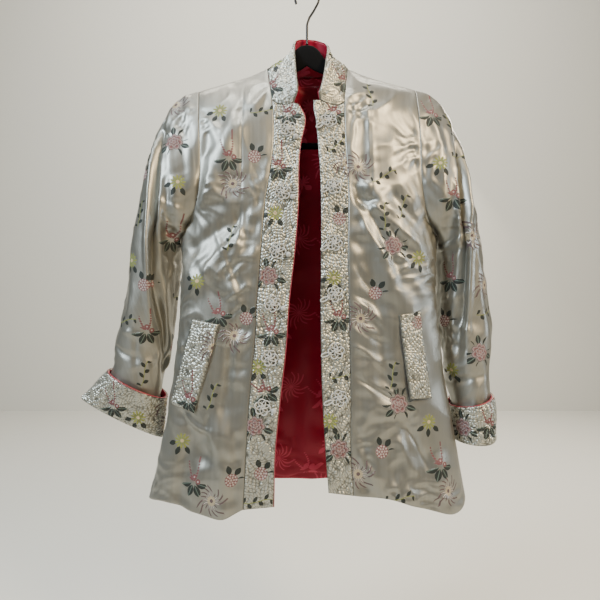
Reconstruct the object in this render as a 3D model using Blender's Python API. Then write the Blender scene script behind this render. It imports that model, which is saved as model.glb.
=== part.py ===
"""Quilted Chinese jacket hanging open on a slim velvet hanger.

Metres, +Z up. The origin is the inner top of the hanger's hook. +X is the wearer's left,
the front faces -Y. Every cloth piece is a closed wall lofted through rows worked out from the
tables below: "right" pieces are the wearer's right, at -X.
"""
import math

import bmesh
import bpy
import numpy as np

# Thicknesses and clearances
CLOTH_WALL = 0.0020
QUILT_WALL = 0.0024
QUILT_RISE = 0.0009
LINING_WALL = 0.0010
SEAM_HALF_GAP = 0.00020
ARMHOLE_GAP = 0.0005
LAYER_GAP = 0.0005
POCKET_GAP = 0.0009

# Rows and columns of the cloth grids
ARM_ROWS = 9
SIDE_ROWS = 17
NECK_ROWS = 3
FRONT_COLUMNS = 10
SHOULDER_COLUMNS = 5
NECK_COLUMNS = 6
BAND_SPLIT = 3
BAND_COLUMNS = 5
COLLAR_SPLIT = 2
COLLAR_COLUMNS = 6
SLEEVE_HEAD_ROWS = 6
SLEEVE_RING_ROWS = 10
CUFF_SPLIT = 2
CUFF_COLUMNS = 7

# Where the armhole ends, along a front from shoulder line to hem
ARMPIT = 0.33
SIDES = {"right": -1.0, "left": 1.0}


def table(columns, *rows):
    """Named columns of a table of numbers."""
    return dict(zip(columns.split(), np.array(rows, dtype=float).T))


# Shoulder line from the neck to the sleeve head, both measured out from the middle
SHOULDER = {
    "right": table(
        "x z",
        (0.0673, -0.1362),
        (0.0900, -0.1468),
        (0.1128, -0.1548),
        (0.1350, -0.1610),
        (0.1580, -0.1675),
        (0.1818, -0.1745),
    ),
    "left": table(
        "x z",
        (0.0690, -0.1362),
        (0.0915, -0.1462),
        (0.1140, -0.1540),
        (0.1360, -0.1600),
        (0.1585, -0.1660),
        (0.1818, -0.1724),
    ),
}

# Fronts, one row for each level: inner edge (neckline, then band seam), outer edge (front of the
# armhole, then side seam), and how far the cloth between them bows forward and turns at the side
FRONT = {
    "right": table(
        "v in_x in_y in_z out_x out_y out_z bow turn round",
        (0.0000, 0.0673, 0.0000, -0.1362, 0.1818, 0.0000, -0.1745, 0.000, 0.000, 0.00),
        (0.0367, 0.0640, -0.0105, -0.1580, 0.1795, -0.0120, -0.1960, 0.006, 0.004, 0.00),
        (0.0733, 0.0605, -0.0210, -0.1790, 0.1768, -0.0235, -0.2240, 0.008, 0.006, 0.00),
        (0.1100, 0.0572, -0.0295, -0.2016, 0.1745, -0.0310, -0.2550, 0.008, 0.006, 0.00),
        (0.1600, 0.0540, -0.0380, -0.2400, 0.1724, -0.0350, -0.2950, 0.006, 0.008, 0.00),
        (0.2200, 0.0546, -0.0450, -0.2850, 0.1742, -0.0360, -0.3400, 0.004, 0.010, 0.10),
        (0.2750, 0.0600, -0.0490, -0.3282, 0.1850, -0.0270, -0.3830, 0.004, 0.018, 0.45),
        (0.3300, 0.0662, -0.0520, -0.3700, 0.2085, 0.0020, -0.4156, 0.004, 0.042, 0.80),
        (0.4300, 0.0724, -0.0580, -0.4473, 0.2080, -0.0040, -0.4700, 0.004, 0.044, 1.00),
        (0.5400, 0.0783, -0.0620, -0.5250, 0.2111, -0.0060, -0.5350, 0.004, 0.046, 1.00),
        (0.6500, 0.0825, -0.0660, -0.6019, 0.2170, -0.0080, -0.6090, 0.004, 0.048, 1.00),
        (0.7600, 0.0897, -0.0700, -0.6778, 0.2262, -0.0100, -0.6840, 0.003, 0.050, 1.00),
        (0.8700, 0.0940, -0.0730, -0.7532, 0.2380, -0.0120, -0.7600, 0.002, 0.050, 1.00),
        (1.0000, 0.0982, -0.0760, -0.8431, 0.2600, -0.0140, -0.8480, 0.002, 0.050, 0.95),
    ),
    "left": table(
        "v in_x in_y in_z out_x out_y out_z bow turn round",
        (0.0000, 0.0690, 0.0000, -0.1362, 0.1818, 0.0000, -0.1724, 0.000, 0.000, 0.00),
        (0.0367, 0.0655, -0.0110, -0.1590, 0.1818, -0.0120, -0.1950, 0.006, 0.004, 0.00),
        (0.0733, 0.0630, -0.0215, -0.1815, 0.1819, -0.0235, -0.2240, 0.008, 0.006, 0.00),
        (0.1100, 0.0602, -0.0300, -0.2050, 0.1822, -0.0310, -0.2560, 0.008, 0.006, 0.00),
        (0.1600, 0.0600, -0.0380, -0.2420, 0.1825, -0.0350, -0.2980, 0.006, 0.008, 0.00),
        (0.2200, 0.0608, -0.0450, -0.2850, 0.1850, -0.0360, -0.3430, 0.004, 0.010, 0.10),
        (0.2750, 0.0636, -0.0490, -0.3282, 0.1950, -0.0270, -0.3870, 0.004, 0.018, 0.45),
        (0.3300, 0.0643, -0.0520, -0.3700, 0.2160, 0.0020, -0.4180, 0.004, 0.042, 0.80),
        (0.4300, 0.0628, -0.0580, -0.4473, 0.2147, -0.0040, -0.4700, 0.004, 0.044, 1.00),
        (0.5400, 0.0640, -0.0620, -0.5250, 0.2128, -0.0060, -0.5350, 0.004, 0.046, 1.00),
        (0.6500, 0.0651, -0.0660, -0.6019, 0.2200, -0.0080, -0.6060, 0.004, 0.048, 1.00),
        (0.7600, 0.0661, -0.0700, -0.6778, 0.2325, -0.0100, -0.6820, 0.003, 0.050, 1.00),
        (0.8700, 0.0658, -0.0730, -0.7532, 0.2455, -0.0120, -0.7600, 0.002, 0.050, 1.00),
        (1.0000, 0.0700, -0.0760, -0.8219, 0.2598, -0.0140, -0.8414, 0.002, 0.050, 0.95),
    ),
}

# Back: depth and height of its middle line, and the back of the two armholes
BACK_MIDDLE = table(
    "v y z",
    (0.0000, 0.0260, -0.1380),
    (0.0733, 0.0340, -0.1850),
    (0.1600, 0.0390, -0.2450),
    (0.3300, 0.0430, -0.3700),
    (0.5400, 0.0470, -0.5250),
    (0.7600, 0.0510, -0.6850),
    (1.0000, 0.0540, -0.8450),
)
BACK_ARM = table(
    "v x y z",
    (0.0000, 0.1818, 0.0000, -0.1735),
    (0.0367, 0.1812, 0.0130, -0.1950),
    (0.0733, 0.1800, 0.0240, -0.2240),
    (0.1100, 0.1790, 0.0310, -0.2560),
    (0.1600, 0.1785, 0.0350, -0.2960),
    (0.2200, 0.1810, 0.0350, -0.3420),
    (0.2750, 0.1920, 0.0270, -0.3860),
    (0.3300, 0.2120, 0.0020, -0.4168),
)
BACK_TURN = 0.032
NECK_BACK = table("x y z", (0.045, 0.0150, -0.1372), (0.0230, 0.0235, -0.1378))
NECK_CENTRE = np.array([0.0, 0.012, 0.0])

# Hem: how far it dips or lifts between the band seam and the side seam
HEM = {
    "right": table(
        "u z",
        (0.00, 0.000),
        (0.15, -0.011),
        (0.38, -0.004),
        (0.62, 0.007),
        (0.82, 0.004),
        (1.00, 0.000),
    ),
    "left": table(
        "u z",
        (0.00, 0.000),
        (0.28, -0.002),
        (0.42, -0.012),
        (0.60, -0.021),
        (0.80, -0.020),
        (1.00, 0.000),
    ),
}

# Free edge of the quilted front bands
BAND_EDGE = {
    "right": table(
        "v x y z",
        (0.11, 0.0134, -0.0385, -0.2123),
        (0.13, 0.0048, -0.0400, -0.2290),
        (0.16, 0.0042, -0.0425, -0.2480),
        (0.19, 0.0088, -0.0445, -0.2680),
        (0.22, 0.0120, -0.0465, -0.2900),
        (0.275, 0.0137, -0.0510, -0.3290),
        (0.33, 0.0141, -0.0550, -0.3700),
        (0.43, 0.0196, -0.0600, -0.4475),
        (0.54, 0.0280, -0.0640, -0.5250),
        (0.65, 0.0333, -0.0680, -0.6016),
        (0.76, 0.0416, -0.0710, -0.6776),
        (0.87, 0.0490, -0.0740, -0.7529),
        (1.00, 0.0512, -0.0760, -0.8386),
    ),
    "left": table(
        "v x y z",
        (0.11, 0.0100, -0.0370, -0.2045),
        (0.13, 0.0098, -0.0385, -0.2170),
        (0.16, 0.0135, -0.0420, -0.2390),
        (0.19, 0.0155, -0.0440, -0.2610),
        (0.22, 0.0172, -0.0460, -0.2850),
        (0.275, 0.0200, -0.0500, -0.3260),
        (0.33, 0.0210, -0.0540, -0.3700),
        (0.43, 0.0208, -0.0600, -0.4475),
        (0.54, 0.0198, -0.0640, -0.5250),
        (0.65, 0.0204, -0.0680, -0.6016),
        (0.76, 0.0225, -0.0710, -0.6776),
        (0.87, 0.0269, -0.0740, -0.7529),
        (1.00, 0.0314, -0.0760, -0.8174),
    ),
}
BAND_TOP_DIP = {
    "right": (0.0, -0.0045, -0.0050, -0.0025, 0.0022, 0.0),
    "left": (0.0, -0.0060, -0.0055, -0.0030, 0.0008, 0.0),
}

# Top edge of the standing collar, from its front end round to the middle of the back
COLLAR_TOP = {
    "right": table(
        "x y z",
        (0.0169, -0.0450, -0.1924),
        (0.0160, -0.0420, -0.1839),
        (0.0174, -0.0320, -0.1616),
        (0.0192, -0.0200, -0.1349),
        (0.0210, -0.0080, -0.1069),
        (0.0215, 0.0000, -0.0935),
        (0.0190, 0.0060, -0.0850),
        (0.0118, 0.0105, -0.0810),
        (0.0000, 0.0120, -0.0804),
    ),
    "left": table(
        "x y z",
        (0.0195, -0.0430, -0.1945),
        (0.0221, -0.0410, -0.1840),
        (0.0267, -0.0320, -0.1596),
        (0.0316, -0.0180, -0.1257),
        (0.0343, -0.0080, -0.1069),
        (0.0340, 0.0000, -0.0945),
        (0.0255, 0.0065, -0.0873),
        (0.0138, 0.0105, -0.0824),
        (0.0000, 0.0120, -0.0804),
    ),
}

# Sleeves: rings from the upper arm to the folded end inside the cuff. The ring's wide axis runs
# out from the body and lifts by the tilt; the pleat is a groove on its front, towards the body
SLEEVE = {
    "right": table(
        "x y z half_wide half_deep tilt pleat",
        (0.2560, 0.0160, -0.4450, 0.0410, 0.0560, 0.0, 0.005),
        (0.2627, 0.0190, -0.5164, 0.0452, 0.0530, 0.0, 0.006),
        (0.2715, 0.0200, -0.5700, 0.0490, 0.0480, 4.0, 0.006),
        (0.2795, 0.0190, -0.6080, 0.0490, 0.0420, 12.0, 0.005),
        (0.2890, 0.0155, -0.6600, 0.0465, 0.0335, 25.0, 0.002),
        (0.3020, 0.0120, -0.6960, 0.0575, 0.0230, 26.0, 0.000),
        (0.3140, 0.0100, -0.7215, 0.0710, 0.0140, 26.0, 0.000),
    ),
    "left": table(
        "x y z half_wide half_deep tilt pleat",
        (0.2590, 0.0170, -0.4450, 0.0365, 0.0590, 0.0, 0.005),
        (0.2664, 0.0200, -0.5320, 0.0440, 0.0550, 0.0, 0.005),
        (0.2700, 0.0200, -0.5680, 0.0452, 0.0520, 0.0, 0.004),
        (0.2728, 0.0160, -0.6425, 0.0370, 0.0490, 4.0, 0.003),
        (0.2775, 0.0130, -0.6920, 0.0314, 0.0443, 14.0, 0.000),
        (0.2795, 0.0100, -0.7280, 0.0305, 0.0435, 8.0, 0.000),
        (0.2812, 0.0080, -0.7545, 0.0285, 0.0430, 3.0, 0.000),
    ),
}

# How far a sleeve's lengthwise curves leave the armhole and reach up from the first ring, at
# its top, its sides and the armpit
LEAVE_TOP = np.array([0.075, 0.0, -0.010])
LEAVE_SIDE = np.array([0.026, 0.0, -0.040])
LEAVE_PIT = np.array([0.008, 0.0, -0.001])
LEAVE_ROUND = 0.010
ARRIVE_TOP = 0.150
ARRIVE_SIDE = 0.070
ARRIVE_PIT = 0.010

# Where the pleat lies round a sleeve
PLEAT_ANGLE = math.radians(128)
PLEAT_SPREAD = math.radians(20)

# Turned-up cuffs: free top edge first, folded bottom edge last
CUFF = {
    "right": table(
        "x y z half_wide half_deep tilt",
        (0.2890, 0.0140, -0.6670, 0.0545, 0.0410, 26.0),
        (0.3040, 0.0115, -0.6990, 0.0665, 0.0300, 26.0),
        (0.3154, 0.0100, -0.7243, 0.0770, 0.0195, 26.0),
    ),
    "left": table(
        "x y z half_wide half_deep tilt",
        (0.2772, 0.0120, -0.6925, 0.0370, 0.0510, 15.0),
        (0.2795, 0.0100, -0.7260, 0.0368, 0.0505, 9.0),
        (0.2812, 0.0080, -0.7575, 0.0330, 0.0495, 3.0),
    ),
}

# Largest folds of the fronts: a ridge (+) or trough (-) from one point to another, seen from
# the front, with its half width and its height
FOLDS = {
    "right": table(
        "x0 z0 x1 z1 spread rise",
        (-0.118, -0.245, -0.168, -0.365, 0.022, 0.007),
        (-0.099, -0.390, -0.186, -0.446, 0.014, -0.006),
        (-0.110, -0.430, -0.180, -0.500, 0.016, 0.005),
        (-0.105, -0.560, -0.125, -0.700, 0.016, -0.005),
        (-0.195, -0.700, -0.160, -0.770, 0.014, -0.006),
        (-0.135, -0.720, -0.128, -0.860, 0.018, 0.008),
        (-0.185, -0.760, -0.200, -0.860, 0.014, -0.007),
    ),
    "left": table(
        "x0 z0 x1 z1 spread rise",
        (0.070, -0.343, 0.100, -0.372, 0.012, -0.007),
        (0.095, -0.350, 0.186, -0.445, 0.018, 0.007),
        (0.080, -0.400, 0.150, -0.530, 0.016, 0.005),
        (0.095, -0.450, 0.120, -0.640, 0.014, -0.005),
        (0.070, -0.755, 0.158, -0.835, 0.018, 0.007),
        (0.148, -0.711, 0.190, -0.790, 0.014, -0.006),
        (0.200, -0.780, 0.225, -0.860, 0.018, 0.008),
    ),
}
BACK_FOLDS = table(
    "x0 z0 x1 z1 spread rise",
    (-0.120, -0.220, -0.150, -0.420, 0.022, -0.005),
    (0.125, -0.215, 0.150, -0.430, 0.022, -0.005),
    (-0.060, -0.480, -0.085, -0.860, 0.024, 0.006),
    (0.070, -0.500, 0.085, -0.860, 0.024, 0.006),
    (0.000, -0.560, 0.010, -0.860, 0.022, -0.005),
    (-0.170, -0.600, -0.185, -0.860, 0.020, 0.005),
    (0.175, -0.620, 0.190, -0.860, 0.020, 0.005),
)

# Pocket welts: corners on the front as share of its width and of its length
POCKET = {
    "right": table(
        "u v",
        (0.60, 0.575),
        (0.33, 0.590),
        (0.47, 0.788),
        (0.78, 0.776),
    ),
    "left": table(
        "u v",
        (0.60, 0.556),
        (0.40, 0.568),
        (0.43, 0.750),
        (0.615, 0.745),
    ),
}
POCKET_ROWS = 15
POCKET_COLUMNS = 4

# Frog fastenings, top to bottom: centre of each cord flower and of its knot or loop end
FROGS = {
    "right": table(
        "x z end_x end_z",
        (-0.0307, -0.2545, -0.0125, -0.2700),
        (-0.0383, -0.3566, -0.0215, -0.3660),
        (-0.0459, -0.4491, -0.0270, -0.4560),
        (-0.0534, -0.5312, -0.0350, -0.5390),
        (-0.0577, -0.6138, -0.0395, -0.6200),
        (-0.0682, -0.6880, -0.0480, -0.6950),
    ),
    "left": table(
        "x z end_x end_z",
        (0.0338, -0.2404, 0.0140, -0.2540),
        (0.0412, -0.3472, 0.0215, -0.3560),
        (0.0408, -0.4368, 0.0210, -0.4480),
        (0.0421, -0.5158, 0.0200, -0.5270),
        (0.0433, -0.6031, 0.0210, -0.6110),
        (0.0476, -0.6743, 0.0250, -0.6840),
    ),
}
CORD_RADIUS = 0.0013
FLOWER_RADIUS = 0.0128
FLOWER_PETALS = 6
FLOWER_POINTS = 24
KNOT_RADIUS = 0.0042
LOOP_HALF_WIDTH = 0.0032
LOOP_POINTS = 12
CORD_SEAT = 0.0001
CORD_GAP = 0.0004

# Hanger: middle line of the right half of its ring, from the hook down to the bar
HANGER = table(
    "x z half_high",
    (0.0000, -0.1115, 0.0200),
    (0.0065, -0.1150, 0.0180),
    (0.0175, -0.1290, 0.0110),
    (0.0420, -0.1430, 0.0085),
    (0.0673, -0.1538, 0.0080),
    (0.1128, -0.1683, 0.0080),
    (0.1580, -0.1815, 0.0080),
    (0.1900, -0.1918, 0.0080),
    (0.2120, -0.2040, 0.0080),
    (0.2190, -0.2200, 0.0068),
    (0.2130, -0.2420, 0.0055),
    (0.1950, -0.2600, 0.0055),
    (0.1600, -0.2662, 0.0060),
    (0.0800, -0.2662, 0.0060),
)

# Hanger's thickness, the bar's half length and the hook's wire
HANGER_HALF_THICK = 0.0030
HANGER_FACETS = 6
BAR_HALF = 0.1600
BAR_ROWS = 1
JOIN_GAP = 0.0003
HOOK_WIRE = 0.0020
HOOK_RADIUS = 0.0200
HOOK_NECK_TOP = -0.0620
HOOK_END_ANGLE = 205


def curve(knots, values, at):
    """Smooth curve through the values at the knots (cubic, slopes from the neighbours)."""
    knots, values, at = (np.asarray(a, dtype=float) for a in (knots, values, at))
    slopes = np.gradient(values, knots)
    k = np.clip(np.searchsorted(knots, at, side="right") - 1, 0, len(knots) - 2)
    step = knots[k + 1] - knots[k]
    t = (at - knots[k]) / step
    rise = values[k + 1] - values[k]
    ease = t * t * (3 - 2 * t)
    lead = t * (1 - t) ** 2 * step * slopes[k]
    tail = t * t * (t - 1) * step * slopes[k + 1]
    return values[k] + rise * ease + lead + tail


def columns_at(rows, key, names, at):
    """Points whose coordinates are the named columns, read smoothly at the key's values."""
    return np.stack([curve(rows[key], rows[name], at) for name in names.split()], axis=-1)


def smooth_step(value, width):
    """0 at value 0, 1 from value = width on, with soft ends."""
    t = np.clip(value / width, 0.0, 1.0)
    return t * t * (3 - 2 * t)


def unit(vectors):
    """The vectors at length 1."""
    return vectors / np.maximum(np.linalg.norm(vectors, axis=-1, keepdims=True), 1e-12)


def fold_depth(folds, x, z):
    """Height of all folds of a table at the points (x, z)."""
    total = np.zeros_like(x)
    for x0, z0, x1, z1, spread, rise in zip(*folds.values()):
        along_x, along_z = x1 - x0, z1 - z0
        length = math.hypot(along_x, along_z)
        t = ((x - x0) * along_x + (z - z0) * along_z) / length**2
        across = ((x - x0) * along_z - (z - z0) * along_x) / length
        ends = smooth_step(t + 0.25, 0.35) * smooth_step(1.25 - t, 0.35)
        total += rise * ends * np.exp(-((across / spread) ** 2))
    return total


# Rows of the cloth, shared by every piece that meets at a seam
ROWS = np.concatenate(
    [np.linspace(0, ARMPIT, ARM_ROWS + 1), np.linspace(ARMPIT, 1, SIDE_ROWS + 1)[1:]]
)


def bezier_rows(start, start_handle, end_handle, end, share):
    """A cubic curve for each row, at the shares 0 to 1 of its width."""
    t = share[None, :, None]
    a, b, c, d = (p[:, None, :] for p in (start, start_handle, end_handle, end))
    return a * (1 - t) ** 3 + 3 * b * t * (1 - t) ** 2 + 3 * c * t * t * (1 - t) + d * t**3


def front_sheet(side, share):
    """Outer points of a front: rows from shoulder line to hem, columns from band to side."""
    sign = SIDES[side]
    rows = FRONT[side]
    start = columns_at(rows, "v", "in_x in_y in_z", ROWS)
    end = columns_at(rows, "v", "out_x out_y out_z", ROWS)
    bow, turn, roundness = columns_at(rows, "v", "bow turn round", ROWS).T
    span = end - start
    start_handle = start + span * 0.38
    start_handle[:, 1] = start[:, 1] - bow
    end_handle = end - span * 0.33
    end_handle[:, 0] += span[:, 0] * 0.33 * roundness
    end_handle[:, 1] = end[:, 1] - turn + (start[:, 1] - end[:, 1]) * 0.33 * (1 - roundness)
    sheet = bezier_rows(start, start_handle, end_handle, end, share)
    sheet[..., 0] *= sign
    line = SHOULDER[side]
    line_x = line["x"][0] + (line["x"][-1] - line["x"][0]) * share
    level = (1 - smooth_step(ROWS, 0.12))[:, None]
    sheet[..., 2] += level * (np.interp(line_x, line["x"], line["z"]) - sheet[0, :, 2])
    sheet[..., 0] += level * (sign * line_x - sheet[0, :, 0])
    dip = curve(HEM[side]["u"], HEM[side]["z"], share)[None, :]
    sheet[..., 2] += dip * smooth_step(ROWS - 0.55, 0.45)[:, None]
    inside = smooth_step(share, 0.14) * smooth_step(1 - share, 0.16)
    window = inside[None, :] * smooth_step(ROWS, 0.08)[:, None]
    sheet[..., 1] -= fold_depth(FOLDS[side], sheet[..., 0], sheet[..., 2]) * window
    return sheet


def back_sheet():
    """Outer points of the back: rows from neck and shoulders to hem, columns across."""
    half = np.linspace(0, 1, NECK_COLUMNS // 2 + SHOULDER_COLUMNS + 1)
    middle = np.stack(
        [
            np.zeros_like(ROWS),
            curve(BACK_MIDDLE["v"], BACK_MIDDLE["y"], ROWS),
            curve(BACK_MIDDLE["v"], BACK_MIDDLE["z"], ROWS),
        ],
        axis=-1,
    )
    halves = []
    for side, sign in SIDES.items():
        end = columns_at(FRONT[side], "v", "out_x out_y out_z", ROWS)
        arm = ROWS < ARMPIT
        end[arm] = columns_at(BACK_ARM, "v", "x y z", ROWS[arm])
        end[0] = (SHOULDER[side]["x"][-1], 0.0, SHOULDER[side]["z"][-1])
        span = end - middle
        start_handle = middle + span * 0.40
        start_handle[:, 1] = middle[:, 1]
        end_handle = end - span * 0.33
        below = smooth_step(ROWS - 0.22, 0.14)
        end_handle[:, 0] += span[:, 0] * 0.33 * below
        end_handle[:, 1] += BACK_TURN * below
        sheet = bezier_rows(middle, start_handle, end_handle, end, half)
        top = neck_and_shoulder(side)
        level = (1 - smooth_step(ROWS, 0.14))[:, None, None]
        sheet += level * (top - sheet[0])[None]
        sheet[..., 0] *= sign
        halves.append(sheet)
    sheet = np.concatenate([halves[0][:, :0:-1], halves[1]], axis=1)
    share = np.abs(np.linspace(-1, 1, sheet.shape[1]))
    window = smooth_step(1 - share, 0.2)[None, :] * smooth_step(ROWS, 0.12)[:, None]
    sheet[..., 1] += fold_depth(BACK_FOLDS, sheet[..., 0], sheet[..., 2]) * window
    return sheet


def neck_and_shoulder(side):
    """Top of half the back: middle of the neck, side of the neck, then the shoulder line."""
    line = SHOULDER[side]
    neck = [(0.0, BACK_MIDDLE["y"][0], BACK_MIDDLE["z"][0])]
    neck += list(zip(NECK_BACK["x"], NECK_BACK["y"], NECK_BACK["z"]))[::-1]
    shoulder = [(x, 0.0, z) for x, z in zip(line["x"], line["z"])]
    return np.array(neck + shoulder)


def normals(sheet, closed=False):
    """Unit normals of a grid, from the differences of its rows and columns."""
    if closed:
        wrapped = np.concatenate([sheet[-1:], sheet, sheet[:1]], axis=0)
        down = (wrapped[2:] - wrapped[:-2]) / 2
    else:
        down = np.gradient(sheet, axis=0)
    across = np.gradient(sheet, axis=1)
    return unit(np.cross(across, down))


def pull_in(sheet, sides, gap=SEAM_HALF_GAP):
    """Draws the named edges of a grid back along the cloth, to leave a gap at each seam."""
    out = sheet.copy()
    if "top" in sides:
        out[0] += unit(sheet[1] - sheet[0]) * gap
    if "bottom" in sides:
        out[-1] += unit(sheet[-2] - sheet[-1]) * gap
    if "first" in sides:
        out[:, 0] += unit(sheet[:, 1] - sheet[:, 0]) * gap
    if "last" in sides:
        out[:, -1] += unit(sheet[:, -2] - sheet[:, -1]) * gap
    return out


def neck_inward(points):
    """Direction in which every piece at the neckline is thick: in towards the neck and down."""
    out = unit((points - NECK_CENTRE) * np.array([1.0, 1.0, 0.0]))
    down = np.array([0.0, 0.0, 1.0]) * (0.1 + 0.56 * out[..., :1] ** 2)
    return unit(-out - down)


def arm_inward(count, towards):
    """Directions in which the pieces at an armhole are thick, from its top to the armpit."""
    angle = np.linspace(0, math.pi, count)
    return np.stack([np.zeros(count), np.sin(angle) * towards, -np.cos(angle)], axis=-1)


def fill_grid(rows, columns, first, closed):
    """Triangles of a grid whose points start at an index."""
    faces = []
    for i in range(rows if closed else rows - 1):
        for j in range(columns - 1):
            a = first + i * columns + j
            b = first + ((i + 1) % rows) * columns + j
            faces += [(a, b, b + 1), (a, b + 1, a + 1)]
    return faces


def stitch(outer, inner):
    """Triangles between two edges with different numbers of points."""
    faces = []
    i = j = 0
    while i < len(outer) - 1 or j < len(inner) - 1:
        next_outer = (i + 1) / (len(outer) - 1)
        next_inner = (j + 1) / (len(inner) - 1)
        if next_outer <= next_inner + 1e-9 and i < len(outer) - 1:
            faces.append((outer[i], inner[j], outer[i + 1]))
            i += 1
        else:
            faces.append((outer[i], inner[j], inner[j + 1]))
            j += 1
    return faces


def wall_mesh(outer, inner, closed=False):
    """Closed wall between an outer and an inner grid; closed grids join last row to first."""
    outer_rows, outer_columns = outer.shape[:2]
    inner_rows, inner_columns = inner.shape[:2]
    start = outer_rows * outer_columns
    points = np.concatenate([outer.reshape(-1, 3), inner.reshape(-1, 3)])
    faces = fill_grid(outer_rows, outer_columns, 0, closed)
    faces += [face[::-1] for face in fill_grid(inner_rows, inner_columns, start, closed)]
    out = np.arange(start).reshape(outer_rows, outer_columns)
    inn = start + np.arange(inner_rows * inner_columns).reshape(inner_rows, inner_columns)
    if closed:
        out = np.concatenate([out, out[:1]])
        inn = np.concatenate([inn, inn[:1]])
    faces += stitch(out[:, 0], inn[:, 0])
    faces += [face[::-1] for face in stitch(out[:, -1], inn[:, -1])]
    if not closed:
        faces += [face[::-1] for face in stitch(out[0], inn[0])]
        faces += stitch(out[-1], inn[-1])
    return points, faces


def quilt_rise(rows, columns, closed=False):
    """Heights of the stuffed bumps: every other inner point raised, a little unevenly."""
    i, j = np.meshgrid(np.arange(rows), np.arange(columns), indexing="ij")
    bump = ((i + j) % 2) * (0.8 + 0.2 * np.sin(i * 2.3 + j * 4.1))
    bump[:, [0, -1]] = 0
    if not closed:
        bump[[0, -1]] = 0
    return bump[..., None] * QUILT_RISE


def spread_rows(points, split):
    """Rows of a grid with straight steps added between them."""
    count = (len(points) - 1) * split + 1
    at = np.linspace(0, len(points) - 1, count)
    low = np.minimum(at.astype(int), len(points) - 2)
    t = (at - low).reshape((-1,) + (1,) * (points.ndim - 1))
    return points[low] * (1 - t) + points[low + 1] * t


def material(name, colour, roughness, metallic=0.0):
    """A plain material."""
    made = bpy.data.materials.new(name)
    made.use_nodes = True
    shader = made.node_tree.nodes["Principled BSDF"]
    shader.inputs["Base Color"].default_value = (*colour, 1.0)
    shader.inputs["Roughness"].default_value = roughness
    shader.inputs["Metallic"].default_value = metallic
    made.diffuse_color = (*colour, 1.0)
    return made


def add_piece(name, points, faces, made):
    """An object of the jacket's collection from points and faces, facing out."""
    mesh = bpy.data.meshes.new(name)
    mesh.from_pydata([tuple(p) for p in points], [], faces)
    shell = bmesh.new()
    shell.from_mesh(mesh)
    bmesh.ops.recalc_face_normals(shell, faces=shell.faces)
    shell.to_mesh(mesh)
    shell.free()
    mesh.materials.append(made)
    mesh.polygons.foreach_set("use_smooth", [True] * len(mesh.polygons))
    piece = bpy.data.objects.new(name, mesh)
    JACKET.objects.link(piece)
    return piece


def add_wall(name, outer, inner, made, closed=False):
    """A wall piece from its outer and inner grids."""
    points, faces = wall_mesh(outer, inner, closed)
    return add_piece(name, points, faces, made)


def offset(sheet, facing, thickness):
    """The grid moved against its facing directions."""
    return sheet - facing * thickness


def front_walls():
    """Both fronts: satin panels from shoulder line to hem."""
    sheets = {}
    share = np.linspace(0, 1, FRONT_COLUMNS + 1)
    for side, sign in SIDES.items():
        sheet = front_sheet(side, share)
        sheets[side] = sheet
        facing = normals(sheet) * -sign
        inward = -facing
        inward[NECK_ROWS:, 0] = (0.0, 1.0, 0.0)
        inward[ARM_ROWS:, -1] = (-sign, 0.0, 0.0)
        inward[0] = (0.0, 0.0, -1.0)
        inward[: NECK_ROWS + 1, 0] = neck_inward(sheet[: NECK_ROWS + 1, 0])
        inward[: ARM_ROWS + 1, -1] = arm_inward(ARM_ROWS + 1, 1.0)
        outer = pull_in(sheet, ("top", "first", "last"))
        add_wall(f"front_{side}", outer, outer + inward * CLOTH_WALL, SATIN)
    return sheets


def back_walls():
    """The satin back, and the red lining that shows inside it."""
    sheet = back_sheet()
    facing = normals(sheet)
    inward = -facing
    centre = NECK_COLUMNS // 2
    middle = sheet.shape[1] // 2
    inward[0] = (0.0, 0.0, -1.0)
    neck = slice(middle - centre, middle + centre + 1)
    inward[0, neck] = neck_inward(sheet[0, neck])
    for column, sign in ((0, -1.0), (-1, 1.0)):
        inward[ARM_ROWS:, column] = (-sign, 0.0, 0.0)
        inward[: ARM_ROWS + 1, column] = arm_inward(ARM_ROWS + 1, -1.0)
    outer = pull_in(sheet, ("top", "first", "last"))
    add_wall("back", outer, outer + inward * CLOTH_WALL, SATIN)
    part = sheet[1:, 2:-2]
    away = facing[1:, 2:-2]
    near = offset(part, away, CLOTH_WALL + LAYER_GAP)
    near[-1] += unit(near[-2] - near[-1]) * 0.006
    add_wall("lining_back", near, offset(near, away, LINING_WALL), LINING)
    return sheet


def band_sheet(side, seam):
    """Outer points of a front band: rows from the neck to the hem, columns seam to edge."""
    edge = columns_at(BAND_EDGE[side], "v", "x y z", ROWS[NECK_ROWS:])
    edge[:, 0] *= SIDES[side]
    share = np.linspace(0, 1, BAND_COLUMNS + 1)[None, :, None]
    sheet = seam[:, None] * (1 - share) + edge[:, None] * share
    sheet[0, :, 2] += BAND_TOP_DIP[side]
    sheet[1, :, 2] += np.array(BAND_TOP_DIP[side]) * 0.4
    return sheet


def band_walls(fronts):
    """Both quilted bands along the open front edges."""
    sheets = {}
    for side, sign in SIDES.items():
        coarse = band_sheet(side, fronts[side][NECK_ROWS:, 0])
        sheets[side] = coarse
        inward = normals(coarse) * -sign
        inward[:, 0] = (0.0, 1.0, 0.0)
        inward[0] = neck_inward(coarse[0])
        plain = pull_in(coarse, ("top", "first"))
        inner = plain + inward * QUILT_WALL
        fine = spread_rows(plain, BAND_SPLIT)
        out = spread_rows(-inward, BAND_SPLIT)
        fine = fine + out * quilt_rise(*fine.shape[:2])
        add_wall(f"band_{side}", fine, inner, QUILT)
    return sheets


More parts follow.
